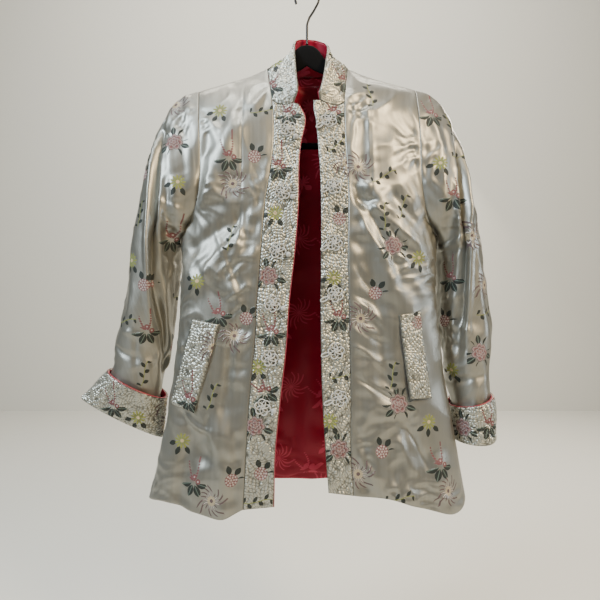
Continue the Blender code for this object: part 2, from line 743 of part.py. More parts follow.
def neck_loop(fronts, back, bands):
    """Points of the neckline from the wearer's right band end round the back to the left one."""
    middle = back.shape[1] // 2
    centre = NECK_COLUMNS // 2
    right = list(bands["right"][0, BAND_COLUMNS - 1 :: -1]) + list(fronts["right"][2:0:-1, 0])
    left = list(fronts["left"][1:3, 0]) + list(bands["left"][0, :BAND_COLUMNS])
    return np.array(right + list(back[0, middle - centre : middle + centre + 1]) + left)


def length_shares(points):
    """Share of the length of a line at each of its points."""
    steps = np.linalg.norm(np.diff(points, axis=0), axis=1)
    run = np.concatenate([[0], np.cumsum(steps)])
    return run / run[-1]


def collar_walls(fronts, back, bands):
    """The quilted standing collar, and its red lining."""
    base = neck_loop(fronts, back, bands)
    tops = []
    for side, sign in SIDES.items():
        rows = COLLAR_TOP[side]
        line = np.stack([rows["x"] * sign, rows["y"], rows["z"]], axis=-1)
        at = length_shares(line)
        count = len(base) // 2 + 1
        base_half = base[:count] if sign < 0 else base[::-1][:count]
        wanted = length_shares(base_half)
        tops.append(np.stack([curve(at, line[:, k], wanted) for k in range(3)], axis=-1))
    top = np.concatenate([tops[0], tops[1][-2::-1]])
    share = np.linspace(0, 1, COLLAR_COLUMNS + 1)[None, :, None]
    coarse = base[:, None] * (1 - share) + top[:, None] * share
    inward = neck_inward(base)[:, None] * (1 - share) - normals(coarse)[:, -1:] * share
    plain = pull_in(coarse, ("first",))
    fine = spread_rows(plain, COLLAR_SPLIT)
    inward = spread_rows(inward, COLLAR_SPLIT)
    raised = fine - inward * quilt_rise(*fine.shape[:2])
    part = [0, COLLAR_COLUMNS // 2, COLLAR_COLUMNS]
    add_wall("collar", raised, (fine + inward * QUILT_WALL)[:, part], QUILT)
    near = (fine + inward * (QUILT_WALL + LAYER_GAP))[:, part]
    add_wall("collar_lining", near, near + inward[:, part] * LINING_WALL, LINING)


def ring(rows, side, at, count):
    """Rings of a table at its row numbers; each starts outermost and runs over the front."""
    names = "x y z half_wide half_deep tilt"
    x, y, z, wide, deep, tilt = columns_at(
        {**rows, "row": np.arange(len(rows["x"]))}, "row", names, at
    ).T[:, :, None]
    angle = np.linspace(0, 2 * math.pi, count, endpoint=False)[None, :]
    lean = np.radians(tilt)
    along = np.cos(angle) * wide
    sign = SIDES[side]
    points = [
        sign * (x + along * np.cos(lean)),
        y - np.sin(angle) * deep,
        z + along * np.sin(lean),
    ]
    return np.stack(np.broadcast_arrays(*points), axis=-1)


def armhole(side, fronts, back):
    """Closed armhole loop: top, down the front, armpit, up the back."""
    front = fronts[side][: ARM_ROWS + 1, -1]
    behind = back[1:ARM_ROWS, 0 if side == "right" else -1]
    return np.concatenate([front, behind[::-1]])


def sleeve_sheet(side, loop):
    """Outer points of a sleeve: rows around, columns from armhole to folded end."""
    sign = SIDES[side]
    count = len(loop)
    angle = np.linspace(0, 2 * math.pi, count, endpoint=False)
    rows = SLEEVE[side]
    rings = ring(rows, side, np.linspace(0, len(rows["x"]) - 1, SLEEVE_RING_ROWS + 1), count)
    pleat = curve(
        np.arange(len(rows["x"])),
        rows["pleat"],
        np.linspace(0, len(rows["x"]) - 1, SLEEVE_RING_ROWS + 1),
    )
    centre = rings.mean(axis=1, keepdims=True)
    groove = np.exp(-(((angle - PLEAT_ANGLE) / PLEAT_SPREAD) ** 2))[None, :, None]
    rings = rings - unit(rings - centre) * groove * pleat[:, None, None]
    top = np.clip(np.cos(angle), 0, 1)[:, None] ** 2
    pit = np.clip(-np.cos(angle), 0, 1)[:, None] ** 2
    side_share = np.sin(angle)[:, None] ** 2
    leave = top * LEAVE_TOP + side_share * LEAVE_SIDE + pit * LEAVE_PIT
    leave[:, 0] *= sign
    leave[:, 1] -= LEAVE_ROUND * np.sin(angle) ** 3
    upward = unit(rings[0] - rings[1])
    arrive = upward * (top * ARRIVE_TOP + side_share * ARRIVE_SIDE + pit * ARRIVE_PIT)
    share = np.linspace(0, 1, SLEEVE_HEAD_ROWS + 1)[:-1]
    head = bezier_rows(loop, loop + leave, rings[0] + arrive, rings[0], share)
    return np.concatenate([head, rings.transpose(1, 0, 2)], axis=1)


def sleeve_walls(fronts, back):
    """Both sleeves, from the armhole to the end that lies inside the cuff."""
    for side, sign in SIDES.items():
        loop = armhole(side, fronts, back)
        sheet = sleeve_sheet(side, loop)
        inward = normals(sheet, closed=True) * sign
        angle = np.linspace(0, 2 * math.pi, len(loop), endpoint=False)
        inward[:, 0] = np.stack(
            [np.zeros(len(loop)), np.sin(angle), -np.cos(angle)], axis=-1
        )
        outer = pull_in(sheet, ("first",), ARMHOLE_GAP)
        inner = outer + inward * CLOTH_WALL
        add_wall(f"sleeve_{side}", outer, inner, SATIN, closed=True)


def cuff_walls():
    """Both turned-up quilted cuffs, and the red lining of their free edge."""
    around = 2 * ARM_ROWS
    for side, sign in SIDES.items():
        at = np.linspace(0, 2, CUFF_COLUMNS + 1)
        fine = ring(CUFF[side], side, at, around * CUFF_SPLIT).transpose(1, 0, 2)
        coarse = ring(CUFF[side], side, at, around).transpose(1, 0, 2)
        out = normals(fine, closed=True) * -sign
        inward = normals(coarse, closed=True) * sign
        raised = fine + out * quilt_rise(*fine.shape[:2], closed=True)
        inner = (coarse + inward * QUILT_WALL)[:, [0, 3, -1]]
        add_wall(f"cuff_{side}", raised, inner, QUILT, closed=True)
        part = [0, 3]
        near = coarse[:, part] + inward[:, part] * (QUILT_WALL + LAYER_GAP)
        far = near + inward[:, part] * LINING_WALL
        add_wall(f"cuff_lining_{side}", near, far, LINING, closed=True)


def on_sheet(sheet, u, v):
    """Point of a facetted grid at shares of its columns and at a length share of its rows."""
    row = np.interp(v, ROWS, np.arange(len(ROWS)))
    column = u * (sheet.shape[1] - 1)
    i = np.minimum(row.astype(int), sheet.shape[0] - 2)
    j = np.minimum(column.astype(int), sheet.shape[1] - 2)
    s, t = (row - i)[..., None], (column - j)[..., None]
    a, b = sheet[i, j], sheet[i + 1, j]
    c, d = sheet[i, j + 1], sheet[i + 1, j + 1]
    lower = a + (b - a) * s + (d - b) * t
    upper = a + (d - c) * s + (c - a) * t
    return np.where(s >= t, lower, upper)


def pocket_walls(fronts):
    """The quilted, slanting pocket welts, laid on the fronts."""
    t = np.linspace(0, 1, POCKET_ROWS + 1)[:, None]
    s = np.linspace(0, 1, POCKET_COLUMNS + 1)[None, :]
    for side, sign in SIDES.items():
        u, v = POCKET[side]["u"], POCKET[side]["v"]
        share = [
            (c[0] * (1 - s) + c[1] * s) * (1 - t) + (c[3] * (1 - s) + c[2] * s) * t
            for c in (u, v)
        ]
        base = on_sheet(fronts[side], *share)
        facing = normals(base) * sign
        near = base + facing * POCKET_GAP
        raised = near + facing * (QUILT_WALL + quilt_rise(*near.shape[:2]))
        add_wall(f"pocket_{side}", raised, near, QUILT)


def band_place(band, x, z):
    """Point on a band seen from the front at x and z, and the direction it faces."""
    middle = band.mean(axis=1)
    row = np.interp(-z, -middle[:, 2], np.arange(len(band)))
    i = min(int(row), len(band) - 2)
    line = band[i] + (band[i + 1] - band[i]) * (row - i)
    share = np.clip((x - line[0, 0]) / (line[-1, 0] - line[0, 0]), -0.1, 1.1)
    point = line[0] + (line[-1] - line[0]) * share
    across = unit(line[-1] - line[0])
    down = unit(middle[i + 1] - middle[i])
    facing = np.cross(across, down)
    facing *= -np.sign(facing[1])
    return point, unit(facing), unit(np.cross(facing, np.array([0.0, 0.0, 1.0])))


def cord_ring(name, points, made):
    """A closed ring of round cord through points."""
    data = bpy.data.curves.new(name, "CURVE")
    data.dimensions = "3D"
    data.bevel_depth = CORD_RADIUS
    data.bevel_resolution = 0
    data.twist_mode = "MINIMUM"
    spline = data.splines.new("POLY")
    spline.points.add(len(points) - 1)
    for place, point in zip(spline.points, points):
        place.co = (*point, 1.0)
    spline.use_cyclic_u = True
    spline.use_smooth = True
    data.materials.append(made)
    piece = bpy.data.objects.new(name, data)
    JACKET.objects.link(piece)
    return piece


def knot_ball(name, centre, made):
    """A ball knot as a sphere."""
    bpy.ops.mesh.primitive_uv_sphere_add(
        segments=8, ring_count=6, radius=KNOT_RADIUS, location=tuple(centre)
    )
    piece = bpy.context.active_object
    piece.name = name
    piece.data.materials.append(made)
    piece.data.polygons.foreach_set("use_smooth", [True] * len(piece.data.polygons))
    for owner in list(piece.users_collection):
        owner.objects.unlink(piece)
    JACKET.objects.link(piece)
    return piece


def frogs(bands):
    """Six cord flowers on each band, with ball knots on the right and loops on the left."""
    lift = QUILT_RISE + CORD_RADIUS + CORD_SEAT
    turn = np.linspace(0, 2 * math.pi, FLOWER_POINTS, endpoint=False)
    petal = FLOWER_RADIUS * (0.72 + 0.28 * np.cos(FLOWER_PETALS * turn))
    for side in SIDES:
        rows = FROGS[side]
        for number, (x, z, end_x, end_z) in enumerate(zip(*rows.values()), start=1):
            place, facing, across = band_place(bands[side], x, z)
            upright = np.cross(across, facing)
            centre = place + facing * lift
            flower = (
                centre
                + across * (petal * np.cos(turn))[:, None]
                + upright * (petal * np.sin(turn))[:, None]
            )
            cord_ring(f"frog_{side}_{number}", flower, CORD)
            end = band_place(bands[side], end_x, end_z)[0] + facing * lift
            ahead = unit(end - centre)
            beside = np.cross(facing, ahead)
            if side == "right":
                reach = FLOWER_RADIUS + CORD_RADIUS + KNOT_RADIUS + CORD_GAP
                under = centre + ahead * reach
                seat = band_place(bands[side], under[0], under[2])[0]
                rise = QUILT_RISE + CORD_SEAT + KNOT_RADIUS
                knot_ball(f"knot_{number}", seat + facing * rise, CORD)
            else:
                begin = FLOWER_RADIUS + 2 * CORD_RADIUS + CORD_GAP
                length = max(np.linalg.norm(end - centre) - begin, 4 * CORD_RADIUS)
                along = np.linspace(0, 2 * math.pi, LOOP_POINTS, endpoint=False)
                run = begin + length * (1 - np.cos(along)) / 2
                swing = LOOP_HALF_WIDTH * np.sin(along) * (0.75 - 0.25 * np.cos(along))
                loop = centre + ahead * run[:, None] + beside * swing[:, None]
                cord_ring(f"loop_{number}", loop, CORD)


def velvet_tube(name, path):
    """A capped tube with flat sides along a line of x, z and half height that starts and ends
    towards -X."""
    along = unit(np.gradient(path[:, :2], axis=0))
    along[[0, -1]] = (-1.0, 0.0)
    side = np.stack([-along[:, 1], np.zeros(len(path)), along[:, 0]], axis=-1)
    angle = np.linspace(0, 2 * math.pi, HANGER_FACETS, endpoint=False) + math.pi / HANGER_FACETS
    middle = np.stack([path[:, 0], np.zeros(len(path)), path[:, 1]], axis=-1)
    points = (
        middle[:, None]
        + side[:, None] * (np.cos(angle)[None] * path[:, 2:])[..., None]
        + np.array([0.0, 1.0, 0.0]) * (np.sin(angle) * HANGER_HALF_THICK)[None, :, None]
    )
    index = np.arange(len(path) * HANGER_FACETS).reshape(len(path), HANGER_FACETS)
    index = np.concatenate([index, index[:, :1]], axis=1)
    faces = [tuple(index[0, :0:-1].tolist()), tuple(index[-1, :-1].tolist())]
    for here, there in zip(index[:-1].tolist(), index[1:].tolist()):
        for j in range(HANGER_FACETS):
            faces.append((here[j], here[j + 1], there[j + 1], there[j]))
    add_piece(name, points.reshape(-1, 3), faces, VELVET)
    return points


def hanger_parts():
    """The velvet hanger's arms with their turned ends, its bar, and its wire hook."""
    half = np.stack([HANGER["x"], HANGER["z"], HANGER["half_high"]], axis=-1)
    arm, bar = half[:-BAR_ROWS], half[-BAR_ROWS:]
    mirrored = arm[:0:-1] * np.array([-1.0, 1.0, 1.0])
    points = velvet_tube("hanger", np.concatenate([mirrored, arm]))
    end = BAR_HALF - JOIN_GAP
    velvet_tube("hanger_bar", np.array([(x, *bar[0, 1:]) for x in (end, -end)]))

    highest = points[len(arm) - 1, :, 2].max()
    arc = np.radians(np.arange(-35, HOOK_END_ANGLE + 1, 20))
    centre_z = HOOK_WIRE - HOOK_RADIUS
    line = [(0.0, 0.0, highest + JOIN_GAP), (0.0, 0.0, HOOK_NECK_TOP)]
    line += [(0.0040, 0.0, -0.0500), (0.0115, 0.0, -0.0385)]
    line += [
        (HOOK_RADIUS * math.cos(a), 0.0, centre_z + HOOK_RADIUS * math.sin(a)) for a in arc
    ]
    data = bpy.data.curves.new("hanger_hook", "CURVE")
    data.dimensions = "3D"
    data.bevel_depth = HOOK_WIRE
    data.bevel_resolution = 2
    data.use_fill_caps = True
    spline = data.splines.new("POLY")
    spline.points.add(len(line) - 1)
    for place, point in zip(spline.points, line):
        place.co = (*point, 1.0)
    spline.use_smooth = True
    data.materials.append(STEEL)
    JACKET.objects.link(bpy.data.objects.new("hanger_hook", data))


for item in list(bpy.data.objects):
    bpy.data.objects.remove(item, do_unlink=True)
JACKET = bpy.data.collections.new("quilted_jacket")
bpy.context.scene.collection.children.link(JACKET)

SATIN = material("silver_brocade_satin", (0.62, 0.60, 0.56), 0.32)
QUILT = material("quilted_brocade", (0.70, 0.69, 0.66), 0.38)
LINING = material("crimson_lining", (0.42, 0.02, 0.06), 0.38)
CORD = material("white_cord", (0.85, 0.84, 0.82), 0.45)
VELVET = material("black_velvet", (0.02, 0.02, 0.022), 0.90)
STEEL = material("dark_wire", (0.10, 0.10, 0.10), 0.35, 1.0)

FRONTS = front_walls()
BACK = back_walls()
BANDS = band_walls(FRONTS)
collar_walls(FRONTS, BACK, BANDS)
sleeve_walls(FRONTS, BACK)
cuff_walls()
pocket_walls(FRONTS)
frogs(BANDS)
hanger_parts()
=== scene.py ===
import math

import bpy
import numpy as np
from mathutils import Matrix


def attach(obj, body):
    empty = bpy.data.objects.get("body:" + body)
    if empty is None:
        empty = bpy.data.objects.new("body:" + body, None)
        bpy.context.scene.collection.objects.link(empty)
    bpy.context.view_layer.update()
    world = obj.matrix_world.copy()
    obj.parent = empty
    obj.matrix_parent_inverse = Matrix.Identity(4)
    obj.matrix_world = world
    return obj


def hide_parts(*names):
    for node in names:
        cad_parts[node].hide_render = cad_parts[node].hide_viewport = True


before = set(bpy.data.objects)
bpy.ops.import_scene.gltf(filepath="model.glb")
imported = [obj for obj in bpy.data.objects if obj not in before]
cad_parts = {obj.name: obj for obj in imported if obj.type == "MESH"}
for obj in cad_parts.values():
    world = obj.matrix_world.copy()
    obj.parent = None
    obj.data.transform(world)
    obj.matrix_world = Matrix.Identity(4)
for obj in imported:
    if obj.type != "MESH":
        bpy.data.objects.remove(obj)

bl_info = {
    "name": "Quilted jacket",
    "version": (1, 0, 0),
    "blender": (4, 5, 0),
    "location": "3D View > Sidebar > Jacket",
    "description": "Cloth, quilting, brocade, frogs and hanger of an open quilted jacket",
    "category": "Object",
}

# Lengths are in metres, +Z is up, the front faces -Y. "Right" pieces are the wearer's, at -X.
SEAM_HALF_GAP = 0.00006
LINING_WALL = 0.0010
LINING_GAP = 0.0016
COLLAR_LINING_GAP = 0.0015
BACK_LINING_GAP = 0.0005
SOFT_FOLD = 0.0008
EDGE_REACH = 7
HANDLE = 0.33
BAND_WIDTH = 0.049
COLLAR_HEIGHT = 0.044
CUFF_HEIGHT = 0.068
POCKET_LENGTH = 0.142
POCKET_WIDTH = 0.038
POCKET_WALL = 0.0016
POCKET_RAISE = 0.0022
PIPING_RADIUS = 0.0006
CORD_RADIUS = 0.0013
FLOWER_CORD = 0.0010
LOOP_CORD = 0.0012
FLOWER_RADIUS = 0.0124
FLOWER_PETALS = 6
FLOWER_SPIN = 0.4
KNOT_RADIUS = 0.0042
LOOP_HALF_WIDTH = 0.0034
THREAD_RISE = 0.00010
LINING_RISE = 0.00003

# Steps of the cloth grids
ARM_STEPS = 108
SIDE_STEPS = 204
FRONT_STEPS = 72
BACK_STEPS = 160
HEAD_STEPS = 84
RING_STEPS = 110
FINE_STEP = 0.00100
ARMPIT = 0.33
NECK_STEPS = ARM_STEPS // 3
BAND_START = ARMPIT / 3

SIDES = {"right": -1.0, "left": 1.0}
# Which way a motif's cloth faces: seen from the front, or from behind
FROM_FRONT = -1.0
FROM_BEHIND = 1.0
FORWARD = np.array([0.0, -1.0, 0.0])
BACKWARD = np.array([0.0, 1.0, 0.0])
DOWNWARD = np.array([0.0, 0.0, -1.0])

# Starting numbers of the random waves
SEEDS = {
    "front_right": 11, "front_left": 31, "back": 51, "lining_back": 71, "band_right": 101,
    "band_left": 131, "collar": 161, "sleeve_right": 201, "sleeve_left": 231, "cuff_right": 261,
    "cuff_left": 291, "pocket_right": 321, "pocket_left": 351,
}


def table(columns, text):
    """Named columns of a table of numbers, which is written row after row."""
    names = columns.split()
    numbers = [float(word) for word in text.split()]
    return dict(zip(names, np.array(numbers).reshape(-1, len(names)).T))


def tables(columns, **groups):
    """Tables that share their columns, by name."""
    return {name: table(columns, text) for name, text in groups.items()}


# Shoulder line from the neck to the sleeve head, both measured out from the middle
SHOULDER = tables(
    "x z",
    right="""
    0.0673 -0.1362  0.09 -0.1468  0.1128 -0.1548  0.135 -0.161  0.158 -0.1675  0.1818 -0.1745
    """,
    left="""
    0.069 -0.1362  0.0915 -0.1462  0.114 -0.154  0.136 -0.16  0.1585 -0.166  0.1818 -0.1724
    """,
)

# Fronts, one row for each level: inner edge (neckline, then band seam), outer edge (front of the
# armhole, then side seam), and how far the cloth between them bows forward and turns at the side
FRONT = tables(
    "v in_x in_y in_z out_x out_y out_z bow turn round",
    right="""
    0 0.0673 0 -0.1362 0.1818 0 -0.1745 0 0 0
    0.0367 0.064 -0.0105 -0.158 0.1795 -0.012 -0.196 0.006 0.004 0
    0.0733 0.0605 -0.021 -0.179 0.1768 -0.0235 -0.224 0.008 0.006 0
    0.11 0.0572 -0.0295 -0.2016 0.1745 -0.031 -0.255 0.008 0.006 0
    0.16 0.054 -0.038 -0.24 0.1724 -0.035 -0.295 0.006 0.008 0
    0.22 0.0546 -0.045 -0.285 0.1742 -0.036 -0.34 0.004 0.01 0.1
    0.275 0.06 -0.049 -0.3282 0.185 -0.027 -0.383 0.004 0.018 0.45
    0.33 0.0662 -0.052 -0.37 0.2085 0.002 -0.4156 0.004 0.042 0.8
    0.43 0.0724 -0.058 -0.4473 0.208 -0.004 -0.47 0.004 0.044 1
    0.54 0.0783 -0.062 -0.525 0.2111 -0.006 -0.535 0.004 0.046 1
    0.65 0.0825 -0.066 -0.6019 0.217 -0.008 -0.609 0.004 0.048 1
    0.76 0.0897 -0.07 -0.6778 0.2262 -0.01 -0.684 0.003 0.05 1
    0.87 0.094 -0.073 -0.7532 0.238 -0.012 -0.76 0.002 0.05 1
    1 0.0982 -0.076 -0.8431 0.26 -0.014 -0.848 0.002 0.05 0.95
    """,
    left="""
    0 0.069 0 -0.1362 0.1818 0 -0.1724 0 0 0
    0.0367 0.0655 -0.011 -0.159 0.1818 -0.012 -0.195 0.006 0.004 0
    0.0733 0.063 -0.0215 -0.1815 0.1819 -0.0235 -0.224 0.008 0.006 0
    0.11 0.0602 -0.03 -0.205 0.1822 -0.031 -0.256 0.008 0.006 0
    0.16 0.06 -0.038 -0.242 0.1825 -0.035 -0.298 0.006 0.008 0
    0.22 0.0608 -0.045 -0.285 0.185 -0.036 -0.343 0.004 0.01 0.1
    0.275 0.0636 -0.049 -0.3282 0.195 -0.027 -0.387 0.004 0.018 0.45
    0.33 0.0643 -0.052 -0.37 0.216 0.002 -0.418 0.004 0.042 0.8
    0.43 0.0628 -0.058 -0.4473 0.2147 -0.004 -0.47 0.004 0.044 1
    0.54 0.064 -0.062 -0.525 0.2128 -0.006 -0.535 0.004 0.046 1
    0.65 0.0651 -0.066 -0.6019 0.22 -0.008 -0.606 0.004 0.048 1
    0.76 0.0661 -0.07 -0.6778 0.2325 -0.01 -0.682 0.003 0.05 1
    0.87 0.0658 -0.073 -0.7532 0.2455 -0.012 -0.76 0.002 0.05 1
    1 0.07 -0.076 -0.8219 0.2598 -0.014 -0.8414 0.002 0.05 0.95
    """,
)

# Back: depth and height of its middle line, and the back of the two armholes
BACK_MIDDLE = table(
    "v y z",
    """
    0 0.026 -0.138  0.0733 0.034 -0.185  0.16 0.039 -0.245  0.33 0.043 -0.37  0.54 0.047 -0.525
    0.76 0.051 -0.685  1 0.054 -0.845
    """,
)
BACK_ARM = table(
    "v x y z",
    """
    0 0.1818 0 -0.1735  0.0367 0.1812 0.013 -0.195  0.0733 0.18 0.024 -0.224
    0.11 0.179 0.031 -0.256  0.16 0.1785 0.035 -0.296  0.22 0.181 0.035 -0.342
    0.275 0.192 0.027 -0.386  0.33 0.212 0.002 -0.4168
    """,
)
BACK_TURN = 0.032
NECK_SHARE = 3 / 8
NECK_BACK = table("x y z", "0.045 0.015 -0.1372  0.023 0.0235 -0.1378")
NECK_CENTRE = np.array([0.0, 0.012, 0.0])

# Hem: how far it dips or lifts between the band seam and the side seam
HEM = tables(
    "u z",
    right="0 0  0.15 -0.011  0.38 -0.004  0.62 0.007  0.82 0.004  1 0",
    left="0 0  0.28 -0.002  0.42 -0.012  0.6 -0.021  0.8 -0.02  1 0",
)

# Free edge of the quilted front bands, and how the neckline dips across a band's top
BAND_EDGE = tables(
    "v x y z",
    right="""
    0.11 0.0134 -0.0385 -0.2123  0.13 0.0048 -0.04 -0.229  0.16 0.0042 -0.0425 -0.248
    0.19 0.0088 -0.0445 -0.268  0.22 0.012 -0.0465 -0.29  0.275 0.0137 -0.051 -0.329
    0.33 0.0141 -0.055 -0.37  0.43 0.0196 -0.06 -0.4475  0.54 0.028 -0.064 -0.525
    0.65 0.0333 -0.068 -0.6016  0.76 0.0416 -0.071 -0.6776  0.87 0.049 -0.074 -0.7529
    1 0.0512 -0.076 -0.8386
    """,
    left="""
    0.11 0.01 -0.037 -0.2045  0.13 0.0098 -0.0385 -0.217  0.16 0.0135 -0.042 -0.239
    0.19 0.0155 -0.044 -0.261  0.22 0.0172 -0.046 -0.285  0.275 0.02 -0.05 -0.326
    0.33 0.021 -0.054 -0.37  0.43 0.0208 -0.06 -0.4475  0.54 0.0198 -0.064 -0.525
    0.65 0.0204 -0.068 -0.6016  0.76 0.0225 -0.071 -0.6776  0.87 0.0269 -0.074 -0.7529
    1 0.0314 -0.076 -0.8174
    """,
)
BAND_TOP_DIP = {
    "right": (0.0, -0.0045, -0.0050, -0.0025, 0.0022, 0.0),
    "left": (0.0, -0.0060, -0.0055, -0.0030, 0.0008, 0.0),
}

# Top edge of the standing collar, from its front end round to the middle of the back
COLLAR_TOP = tables(
    "x y z",
    right="""
    0.0169 -0.045 -0.1924  0.016 -0.042 -0.1839  0.0174 -0.032 -0.1616  0.0192 -0.02 -0.1349
    0.021 -0.008 -0.1069  0.0215 0 -0.0935  0.019 0.006 -0.085  0.0118 0.0105 -0.081
    0 0.012 -0.0804
    """,
    left="""
    0.0195 -0.043 -0.1945  0.0221 -0.041 -0.184  0.0267 -0.032 -0.1596  0.0316 -0.018 -0.1257
    0.0343 -0.008 -0.1069  0.034 0 -0.0945  0.0255 0.0065 -0.0873  0.0138 0.0105 -0.0824
    0 0.012 -0.0804
    """,
)

# Sleeves: rings from the upper arm to the folded end inside the cuff. The ring's wide axis runs
# out from the body and lifts by the tilt; the pleat is a groove on its front, towards the body
SLEEVE = tables(
    "x y z half_wide half_deep tilt pleat",
    right="""
    0.256 0.016 -0.445 0.041 0.056 0 0.005  0.2627 0.019 -0.5164 0.0452 0.053 0 0.006
    0.2715 0.02 -0.57 0.049 0.048 4 0.006  0.2795 0.019 -0.608 0.049 0.042 12 0.005
    0.289 0.0155 -0.66 0.0465 0.0335 25 0.002  0.302 0.012 -0.696 0.0575 0.023 26 0
    0.314 0.01 -0.7215 0.071 0.014 26 0
    """,
    left="""
    0.259 0.017 -0.445 0.0365 0.059 0 0.005  0.2664 0.02 -0.532 0.044 0.055 0 0.005
    0.27 0.02 -0.568 0.0452 0.052 0 0.004  0.2728 0.016 -0.6425 0.037 0.049 4 0.003
    0.2775 0.013 -0.692 0.0314 0.0443 14 0  0.2795 0.01 -0.728 0.0305 0.0435 8 0
    0.2812 0.008 -0.7545 0.0285 0.043 3 0
    """,
)
PLEAT_ANGLE = math.radians(128)
PLEAT_SPREAD = math.radians(20)

# Turned-up cuffs: free top edge first, folded bottom edge last
CUFF = tables(
    "x y z half_wide half_deep tilt",
    right="""
    0.289 0.014 -0.667 0.0545 0.041 26  0.304 0.0115 -0.699 0.0665 0.03 26
    0.3154 0.01 -0.7243 0.077 0.0195 26
    """,
    left="""
    0.2772 0.012 -0.6925 0.037 0.051 15  0.2795 0.01 -0.726 0.0368 0.0505 9
    0.2812 0.008 -0.7575 0.033 0.0495 3
    """,
)

# Pocket welts: corners on the front as share of its width and of its length
POCKET = tables(
    "u v",
    right="0.6 0.575  0.33 0.59  0.47 0.788  0.78 0.776",
    left="0.6 0.556  0.4 0.568  0.43 0.75  0.615 0.745",
)

# Frog fastenings, top to bottom: centre of each cord flower and of its knot or loop end
FROGS = tables(
    "x z end_x end_z",
    right="""
    -0.0307 -0.2545 -0.0125 -0.27  -0.0383 -0.3566 -0.0215 -0.366  -0.0459 -0.4491 -0.027 -0.456
    -0.0534 -0.5312 -0.035 -0.539  -0.0577 -0.6138 -0.0395 -0.62  -0.0682 -0.688 -0.048 -0.695
    """,
    left="""
    0.0338 -0.2404 0.014 -0.254  0.0412 -0.3472 0.0215 -0.356  0.0408 -0.4368 0.021 -0.448
    0.0421 -0.5158 0.02 -0.527  0.0433 -0.6031 0.021 -0.611  0.0476 -0.6743 0.025 -0.684
    """,
)

# Hanger: middle line of the right half of its ring, from the hook down to the bar
HANGER = table(
    "x z half_high",
    """
    0 -0.1115 0.02  0.0065 -0.115 0.019  0.0175 -0.127 0.015  0.042 -0.143 0.0085
    0.0673 -0.1538 0.008  0.1128 -0.1683 0.008  0.158 -0.1815 0.008  0.19 -0.1918 0.008
    0.212 -0.204 0.008  0.219 -0.22 0.0068  0.213 -0.242 0.0055  0.195 -0.26 0.0055
    0.16 -0.2662 0.006  0.08 -0.2662 0.006
    """,
)
HANGER_HALF_THICK = 0.0030
HOOK_WIRE = 0.0020
HOOK_RADIUS = 0.0200
HOOK_NECK_TOP = -0.0620
HOOK_END_ANGLE = 205

# Largest folds, in the solids too: a ridge (+) or trough (-) from one point to another, seen
# from the front, with its half width and its height
FOLDS = tables(
    "x0 z0 x1 z1 spread rise",
    right="""
    -0.118 -0.245 -0.168 -0.365 0.022 0.007  -0.099 -0.39 -0.186 -0.446 0.014 -0.006
    -0.11 -0.43 -0.18 -0.5 0.016 0.005  -0.105 -0.56 -0.125 -0.7 0.016 -0.005
    -0.195 -0.7 -0.16 -0.77 0.014 -0.006  -0.135 -0.72 -0.128 -0.86 0.018 0.008
    -0.185 -0.76 -0.2 -0.86 0.014 -0.007
    """,
    left="""
    0.07 -0.343 0.1 -0.372 0.012 -0.007  0.095 -0.35 0.186 -0.445 0.018 0.007
    0.08 -0.4 0.15 -0.53 0.016 0.005  0.095 -0.45 0.12 -0.64 0.014 -0.005
    0.07 -0.755 0.158 -0.835 0.018 0.007  0.148 -0.711 0.19 -0.79 0.014 -0.006
    0.2 -0.78 0.225 -0.86 0.018 0.008
    """,
    back="""
    -0.12 -0.22 -0.15 -0.42 0.022 -0.005  0.125 -0.215 0.15 -0.43 0.022 -0.005
    -0.06 -0.48 -0.085 -0.86 0.024 0.006  0.07 -0.5 0.085 -0.86 0.024 0.006
    0 -0.56 0.01 -0.86 0.022 -0.005  -0.17 -0.6 -0.185 -0.86 0.02 0.005
    0.175 -0.62 0.19 -0.86 0.02 0.005
    """,
)

# Stitched line down each front: its place across, and its two ends
DARTS = {"right": -0.1045, "left": 0.1010}
DART_LEVELS = (-0.150, -0.372)
GATHER_SEEDS = {"right": 5, "left": 8}

